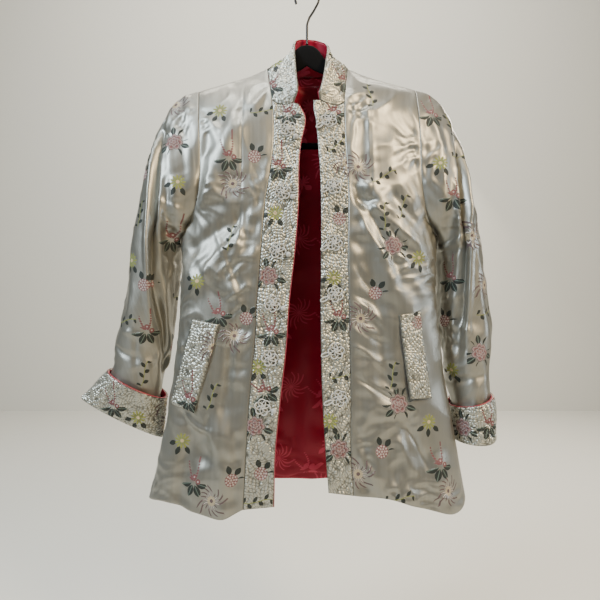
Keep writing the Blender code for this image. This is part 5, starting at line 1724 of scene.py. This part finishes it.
def make_sleeves():
    """Both satin sleeves."""
    sizes = bpy.context.scene.jacket_sizes
    fronts, back, _ = jacket_sheets()
    for side, sign in SIDES.items():
        name = f"sleeve_{side}"
        front = fronts[side][: ARM_STEPS + 1, -1]
        behind = back[1:ARM_STEPS, 0 if side == "right" else -1]
        loop = np.concatenate([front, behind[::-1]])
        sheet = sleeve_sheet(side, loop)
        facing = normals(sheet, from_middle(sheet), closed=True)
        crumple = crumple_height(sheet, SEEDS[name])
        shown = smooth_step(-facing[..., 1] + 0.15, 0.3)
        placed = CREASES[name]
        depth = crease_depth(placed, sheet[..., 0], sheet[..., 2]) * shown
        shifted = crease_depth(placed, sheet[..., 0] * 0.97, sheet[..., 2] + 0.025)
        depth = depth + shifted * smooth_step(facing[..., 1] + 0.15, 0.3) * 0.8
        window = edge_window(sheet.shape[:2], 8, closed=True)
        height = (depth * sizes.crease_depth + crumple * sizes.crumple * 0.9) * window
        outer = sheet + facing * height[..., None]
        outer = pull_in(outer, ("first",), 0.0004)
        inward = -facing
        angle = full_turn(len(loop))
        inward[:, 0] = np.stack([np.zeros_like(angle), np.sin(angle), -np.cos(angle)], axis=-1)
        inward = ease_in(inward, columns=(0,))
        inner_x, outer_x = sorted((sign * 0.19, sign * 0.34))
        hidden = hidden_rows((inner_x, -0.70), (outer_x, -0.20))
        piece = cloth_piece(
            name, outer, inward, sizes.cloth_wall, (satin(), lining()),
            motifs=[(FROM_FRONT, motif_rows(name)), (FROM_BEHIND, hidden)], closed=True
        )


def make_cuffs():
    """Both turned-up quilted cuffs and the crimson lining of their free edge."""
    sizes = bpy.context.scene.jacket_sizes
    for side in SIDES:
        name = f"cuff_{side}"
        rows = CUFF[side]
        wide, deep = rows["half_wide"].max(), rows["half_deep"].max()
        girth = math.pi * (3 * (wide + deep) - math.sqrt((3 * wide + deep) * (wide + 3 * deep)))
        count = 4 * round(girth / FINE_STEP / 4)
        at = np.linspace(0, 2, fine_steps(CUFF_HEIGHT) + 1)
        sheet = ring(rows, side, at, count).transpose(1, 0, 2)
        facing = normals(sheet, from_middle(sheet), closed=True)
        outer, relief = quilt(name, sheet, facing, closed=True)
        hidden = hidden_rows((-0.36, -0.74), (0.36, -0.68))
        piece = cloth_piece(
            name, outer, -facing, sizes.quilt_wall, (quilted(), lining()),
            motifs=[(FROM_FRONT, motif_rows(name)), (FROM_BEHIND, hidden)],
            closed=True, relief=relief
        )
        part = slice(None, None, 2), slice(2 * (sheet.shape[1] // 5) + 1)
        near = (sheet - facing * (sizes.quilt_wall + LINING_GAP))[part]
        piece = cloth_piece(
            f"cuff_lining_{side}", near, facing[part], LINING_WALL, (lining(),), closed=True,
            lined=False
        )


def on_sheet(sheet, u, v):
    """Bilinear point of a grid at shares of its columns and at a length share of its rows."""
    row = np.interp(v, ROWS, np.arange(len(ROWS)))
    column = u * (sheet.shape[1] - 1)
    i = np.minimum(row.astype(int), sheet.shape[0] - 2)
    j = np.minimum(column.astype(int), sheet.shape[1] - 2)
    s, t = (row - i)[..., None], (column - j)[..., None]
    upper = sheet[i, j] * (1 - t) + sheet[i, j + 1] * t
    lower = sheet[i + 1, j] * (1 - t) + sheet[i + 1, j + 1] * t
    return upper * (1 - s) + lower * s


def make_pockets():
    """The quilted, slanting pocket welts."""
    sizes = bpy.context.scene.jacket_sizes
    t = np.linspace(0, 1, fine_steps(POCKET_LENGTH) + 1)[:, None]
    s = np.linspace(0, 1, fine_steps(POCKET_WIDTH) + 1)[None, :]
    for side in SIDES:
        name = f"pocket_{side}"
        share = [
            (c[0] * (1 - s) + c[1] * s) * (1 - t) + (c[3] * (1 - s) + c[2] * s) * t
            for c in (POCKET[side]["u"], POCKET[side]["v"])
        ]
        base = on_sheet(front_sheet(side), *share)
        facing = normals(base, FORWARD)
        padding = edge_window(base.shape[:2], 3) * sizes.quilt_wall * 0.4
        outer, relief = quilt(name, base + facing * POCKET_RAISE, facing)
        outer = outer + facing * padding[..., None]
        piece = cloth_piece(
            name, outer, -facing, POCKET_WALL, (quilted(), lining()),
            motifs=[(FROM_FRONT, motif_rows(name))], relief=relief
        )


def tube(name, path, radius, made, closed, facets=8):
    """A round cord along a path: circles square to it."""
    if closed:
        along = unit(np.roll(path, -1, axis=0) - np.roll(path, 1, axis=0))
    else:
        along = unit(np.gradient(path, axis=0))
    side = unit(np.cross(along, BACKWARD) + 1e-9)
    rise = np.cross(side, along)
    angle = full_turn(facets)[None, :, None]
    points = path[:, None] + radius * (
        side[:, None] * np.cos(angle) + rise[:, None] * np.sin(angle)
    )
    return ring_piece(name, points, made, closed)


def band_place(band, x, z):
    """Point on a band seen from the front at x and z, and the directions facing and across."""
    middle = band.mean(axis=1)
    row = np.interp(-z, -middle[:, 2], np.arange(len(band)))
    i = min(int(row), len(band) - 2)
    line = band[i] + (band[i + 1] - band[i]) * (row - i)
    share = np.clip((x - line[0, 0]) / (line[-1, 0] - line[0, 0]), -0.1, 1.1)
    point = line[0] + (line[-1] - line[0]) * share
    across = unit(line[-1] - line[0])
    down = unit(middle[i + 1] - middle[i])
    facing = np.cross(across, down)
    facing *= -np.sign(facing[1])
    return point, unit(facing), unit(np.cross(facing, np.array([0.0, 0.0, 1.0])))


def flower_line(number):
    """Across, up and out of a cord flower: R (0.44 exp(it) + 0.56 exp(-5it)), over and under."""
    turn = full_turn(264)
    other = (1 - FLOWER_PETALS) * turn
    x = FLOWER_RADIUS * (0.44 * np.cos(turn) + 0.56 * np.cos(other))
    y = FLOWER_RADIUS * (0.44 * np.sin(turn) + 0.56 * np.sin(other))
    spin = FLOWER_SPIN * number
    out = 0.0012 * (1 + np.sin(2 * FLOWER_PETALS * turn + 0.8))
    return (
        x * math.cos(spin) - y * math.sin(spin),
        x * math.sin(spin) + y * math.cos(spin),
        out,
    )


def loop_line(length):
    """Ahead and beside of a long loop of cord that starts under its flower."""
    turn = full_turn(64)
    begin = FLOWER_RADIUS * 0.75
    run = begin + (length - begin) * (1 - np.cos(turn)) / 2
    return run, LOOP_HALF_WIDTH * np.sin(turn) * (0.75 - 0.25 * np.cos(turn))


def knot(name, centre, made):
    """A ball knot: a sphere whose radius swells along six wound cords."""
    around = full_turn(48)[None, :]
    down = np.linspace(0.02, math.pi - 0.02, 25)[:, None]
    wound = np.abs(np.sin(3 * around + 2.2 * down)) ** 0.6
    size = KNOT_RADIUS * (0.90 + 0.10 * wound)
    points = [
        centre[0] + size * np.sin(down) * np.cos(around),
        centre[1] + size * np.cos(down) * np.ones_like(around),
        centre[2] + size * np.sin(down) * np.sin(around),
    ]
    return ring_piece(name, np.stack(points, axis=-1), made, turned=True)


def make_frogs():
    """Cord flowers with ball knots on the right band and loops on the left one."""
    _, _, bands = jacket_sheets()
    made = cord_material()
    lift = 0.0014 + CORD_RADIUS
    for side in SIDES:
        rows = FROGS[side]
        for number, (x, z, end_x, end_z) in enumerate(zip(*rows.values()), start=1):
            place, facing, across = band_place(bands[side], x, z)
            upright = np.cross(across, facing)
            centre = place + facing * lift
            right, up, out = (part[:, None] for part in flower_line(number))
            name = f"frog_{side}_{number}"
            flower = centre + across * right + upright * up + facing * out
            piece = tube(f"{name}_cord", flower, FLOWER_CORD, made, True)
            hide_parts(name)
            end = band_place(bands[side], end_x, end_z)[0] + facing * lift
            ahead = unit(end - centre)
            if side == "right":
                name = f"knot_{number}"
                under = centre + ahead * (FLOWER_RADIUS + CORD_RADIUS + KNOT_RADIUS)
                seat = band_place(bands[side], under[0], under[2])[0]
                piece = knot(f"{name}_cord", seat + facing * (0.0010 + KNOT_RADIUS), made)
            else:
                name = f"loop_{number}"
                beside = np.cross(facing, ahead)
                run, swing = (part[:, None] for part in loop_line(np.linalg.norm(end - centre)))
                loop = centre + ahead * run + beside * swing + facing * 0.001
                piece = tube(f"{name}_cord", loop, LOOP_CORD, made, True)
            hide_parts(name)


def make_piping():
    """Fine piping along the right front's edge and the free edges of the cuffs."""
    _, _, bands = jacket_sheets()
    made = piping_material()
    edge = bands["right"][:, -1] + np.array([0.0, -0.0004, 0.0])
    piece = tube("piping_band_right", edge[::2], PIPING_RADIUS, made, False, 6)
    for side in SIDES:
        top = ring(CUFF[side], side, np.array([0.0]), 120)[0]
        piece = tube(f"piping_cuff_{side}", top, PIPING_RADIUS, made, True, 6)


def blunt(wave):
    """A wave with fuller corners: its size to the power 0.7."""
    return np.sign(wave) * np.abs(wave) ** 0.7


def velvet_ring():
    """Rings of points round the hanger's arms and bar: a smoothed line with a flat section."""
    half = np.stack([HANGER["x"], HANGER["z"], HANGER["half_high"]], axis=-1)
    mirrored = half[:0:-1] * np.array([-1.0, 1.0, 1.0])
    path = np.concatenate([half, mirrored, half[:1]])
    run = line_lengths(path[:, :2])
    at = np.linspace(0, run[-1], 241)[:-1]
    fine = np.stack([np.interp(at, run, path[:, k]) for k in range(3)], axis=-1)
    for _ in range(3):
        fine = (np.roll(fine, 1, axis=0) + 2 * fine + np.roll(fine, -1, axis=0)) / 4
    along = unit((np.roll(fine, -1, axis=0) - np.roll(fine, 1, axis=0))[:, :2])
    level = np.zeros(len(fine))
    side = np.stack([-along[:, 1], level, along[:, 0]], axis=-1)
    middle = np.stack([fine[:, 0], level, fine[:, 1]], axis=-1)
    angle = full_turn(20)
    high = blunt(np.cos(angle))[None] * fine[:, 2:] * 0.93
    thick = blunt(np.sin(angle)) * HANGER_HALF_THICK * 0.87
    return middle[:, None] + side[:, None] * high[..., None] + BACKWARD * thick[None, :, None]


def hook_line():
    """Middle line of the wire: straight up out of the neck, aside, and round in an arc."""
    arc = np.radians(np.linspace(-35, HOOK_END_ANGLE, 72))
    x = np.concatenate([[0.0, 0.0, 0.0040, 0.0115], HOOK_RADIUS * np.cos(arc)])
    top = HOOK_WIRE - HOOK_RADIUS + HOOK_RADIUS * np.sin(arc)
    z = np.concatenate([[-0.0950, HOOK_NECK_TOP, -0.0500, -0.0385], top])
    line = resample(np.stack([x, np.zeros_like(x), z], axis=-1), 160)
    for _ in range(6):
        line[1:-1] = (line[:-2] + 2 * line[1:-1] + line[2:]) / 4
    return line


def make_hanger():
    """The velvet ring of the hanger, rounded, and its wire hook."""
    piece = ring_piece("velvet_ring", velvet_ring(), velvet_material(), closed=True, turned=True)
    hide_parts("hanger", "hanger_bar")
    piece = tube("wire_hook", hook_line(), HOOK_WIRE, wire_material(), False, 16)
    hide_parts("hanger_hook")


# Stage


FLOOR_LEVEL = -1.35
FLOOR_FRONT = -5.0
WALL_BEHIND = 2.60
WALL_TOP = 4.5
WALL_HALF_WIDTH = 6.0
ROOM_COLOUR = (0.82, 0.83, 0.80, 1.0)
ROOM_STRENGTH = 0.13
CAMERA_PLACE = (-0.0118, -0.76, -0.525)
CAMERA_LENS = 27.09

# Soft lights: name, place, the point they are turned to, size, power and colour
LIGHTS = (
    ("window_left", (-1.9, -1.3, 1.0), (0.0, 0.0, -0.30), (0.6, 1.3), 92, (0.74, 0.88, 1.0)),
    ("lamp_right", (1.5, -1.7, 1.1), (0.0, 0.0, -0.30), (0.5, 0.9), 88, (1.0, 0.79, 0.50)),
    ("lamp_above", (-0.3, -0.7, 1.6), (0.0, 0.0, -0.40), (0.6, 0.3), 22, (0.98, 0.99, 0.96)),
    ("lamp_behind", (1.6, 2.0, 0.9), (0.0, 0.0, -0.40), (0.9, 0.9), 46, (1.0, 0.90, 0.76)),
    ("wall_light", (0.0, 0.7, 2.6), (0.0, 2.6, -0.3), (3.0, 0.6), 120, (1.0, 0.96, 0.88)),
    ("side_right", (2.2, -0.4, 0.0), (0.0, 0.0, -0.50), (0.5, 1.6), 22, (0.76, 0.88, 1.0)),
)


def area_light(name, place, aim, size, power, colour):
    """A rectangular soft light at a place, turned to a point."""
    data = bpy.data.lights.new(name, "AREA")
    data.shape = "RECTANGLE"
    data.size, data.size_y = size
    data.energy = power
    data.color = colour
    lamp = bpy.data.objects.new(name, data)
    lamp.location = place
    way = np.array(aim) - np.array(place)
    flat = math.hypot(way[0], way[1])
    lamp.rotation_euler = (math.atan2(flat, -way[2]), 0.0, math.atan2(-way[0], way[1]))
    bpy.context.scene.collection.objects.link(lamp)
    return lamp


def make_stage():
    """Pale wall and floor, soft lights and the camera of the photo."""
    scene = bpy.context.scene
    profile = ((FLOOR_FRONT, FLOOR_LEVEL), (WALL_BEHIND, FLOOR_LEVEL), (WALL_BEHIND, WALL_TOP))
    points = [(x, y, z) for y, z in profile for x in (-WALL_HALF_WIDTH, WALL_HALF_WIDTH)]
    mesh = bpy.data.meshes.new("backdrop")
    mesh.from_pydata(points, [], [(0, 1, 3, 2), (2, 3, 5, 4)])
    mesh.materials.append(plain_material("pale wall", (0.620, 0.605, 0.550), 0.9))
    backdrop = bpy.data.objects.new("backdrop", mesh)
    scene.collection.objects.link(backdrop)
    for light in LIGHTS:
        lamp = area_light(*light)
        lamp.visible_camera = False
    world = bpy.data.worlds.new("room")
    world.use_nodes = True
    room = world.node_tree.nodes["Background"]
    room.inputs["Color"].default_value = ROOM_COLOUR
    room.inputs["Strength"].default_value = ROOM_STRENGTH
    scene.world = world
    data = bpy.data.cameras.new("camera")
    data.sensor_width = 36.0
    data.lens = CAMERA_LENS
    camera = bpy.data.objects.new("camera", data)
    camera.location = CAMERA_PLACE
    camera.rotation_euler = (math.radians(90), 0.0, 0.0)
    scene.collection.objects.link(camera)
    scene.camera = camera


class JACKET_OT_fronts(bpy.types.Operator):
    """Both satin fronts."""

    bl_idname = "jacket.fronts"
    bl_label = "Make fronts"

    def execute(self, context):
        make_fronts()
        return {"FINISHED"}


class JACKET_OT_back(bpy.types.Operator):
    """The satin back and its crimson lining."""

    bl_idname = "jacket.back"
    bl_label = "Make back and lining"

    def execute(self, context):
        make_back()
        return {"FINISHED"}


class JACKET_OT_bands(bpy.types.Operator):
    """Both quilted bands along the open front edges."""

    bl_idname = "jacket.bands"
    bl_label = "Make bands"

    def execute(self, context):
        make_bands()
        return {"FINISHED"}


class JACKET_OT_collar(bpy.types.Operator):
    """The quilted standing collar and its crimson lining."""

    bl_idname = "jacket.collar"
    bl_label = "Make collar"

    def execute(self, context):
        make_collar()
        return {"FINISHED"}


class JACKET_OT_sleeves(bpy.types.Operator):
    """Both satin sleeves."""

    bl_idname = "jacket.sleeves"
    bl_label = "Make sleeves"

    def execute(self, context):
        make_sleeves()
        return {"FINISHED"}


class JACKET_OT_cuffs(bpy.types.Operator):
    """Both turned-up quilted cuffs and their linings."""

    bl_idname = "jacket.cuffs"
    bl_label = "Make cuffs"

    def execute(self, context):
        make_cuffs()
        return {"FINISHED"}


class JACKET_OT_pockets(bpy.types.Operator):
    """The quilted, slanting pocket welts."""

    bl_idname = "jacket.pockets"
    bl_label = "Make pockets"

    def execute(self, context):
        make_pockets()
        return {"FINISHED"}


class JACKET_OT_frogs(bpy.types.Operator):
    """Cord flowers, ball knots and loops."""

    bl_idname = "jacket.frogs"
    bl_label = "Make frogs"

    def execute(self, context):
        make_frogs()
        return {"FINISHED"}


class JACKET_OT_piping(bpy.types.Operator):
    """Fine piping along the edges."""

    bl_idname = "jacket.piping"
    bl_label = "Make piping"

    def execute(self, context):
        make_piping()
        return {"FINISHED"}


class JACKET_OT_hanger(bpy.types.Operator):
    """The velvet hanger and its wire hook."""

    bl_idname = "jacket.hanger"
    bl_label = "Make hanger"

    def execute(self, context):
        make_hanger()
        return {"FINISHED"}


class JACKET_OT_stage(bpy.types.Operator):
    """Wall, floor, lights and camera."""

    bl_idname = "jacket.stage"
    bl_label = "Make stage"

    def execute(self, context):
        make_stage()
        return {"FINISHED"}


OPERATORS = (
    JACKET_OT_fronts,
    JACKET_OT_back,
    JACKET_OT_bands,
    JACKET_OT_collar,
    JACKET_OT_sleeves,
    JACKET_OT_cuffs,
    JACKET_OT_pockets,
    JACKET_OT_frogs,
    JACKET_OT_piping,
    JACKET_OT_hanger,
    JACKET_OT_stage,
)


class JACKET_PT_sidebar(bpy.types.Panel):
    """Panel with the jacket's settings and steps."""

    bl_label = "Quilted jacket"
    bl_idname = "JACKET_PT_sidebar"
    bl_space_type = "VIEW_3D"
    bl_region_type = "UI"
    bl_category = "Jacket"

    def draw(self, context):
        for group in (context.scene.jacket_sizes, context.scene.jacket_colours):
            for name in group.bl_rna.properties.keys():
                if name not in ("rna_type", "name"):
                    self.layout.prop(group, name)
        for kind in OPERATORS:
            self.layout.operator(kind.bl_idname)


CLASSES = (JacketSizes, JacketColours, *OPERATORS, JACKET_PT_sidebar)


def register():
    """Adds the settings, steps and panel."""
    for kind in CLASSES:
        bpy.utils.register_class(kind)
    bpy.types.Scene.jacket_sizes = bpy.props.PointerProperty(type=JacketSizes)
    bpy.types.Scene.jacket_colours = bpy.props.PointerProperty(type=JacketColours)


def unregister():
    """Takes them away again."""
    del bpy.types.Scene.jacket_sizes
    del bpy.types.Scene.jacket_colours
    for kind in reversed(CLASSES):
        bpy.utils.unregister_class(kind)


def main():
    """Makes every piece and the stage."""
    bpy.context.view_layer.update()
    register()
    bpy.ops.jacket.fronts()
    bpy.ops.jacket.back()
    bpy.ops.jacket.bands()
    bpy.ops.jacket.collar()
    bpy.ops.jacket.sleeves()
    bpy.ops.jacket.cuffs()
    bpy.ops.jacket.pockets()
    bpy.ops.jacket.frogs()
    bpy.ops.jacket.piping()
    bpy.ops.jacket.hanger()
    bpy.ops.jacket.stage()


if __name__ == "__main__":
    main()
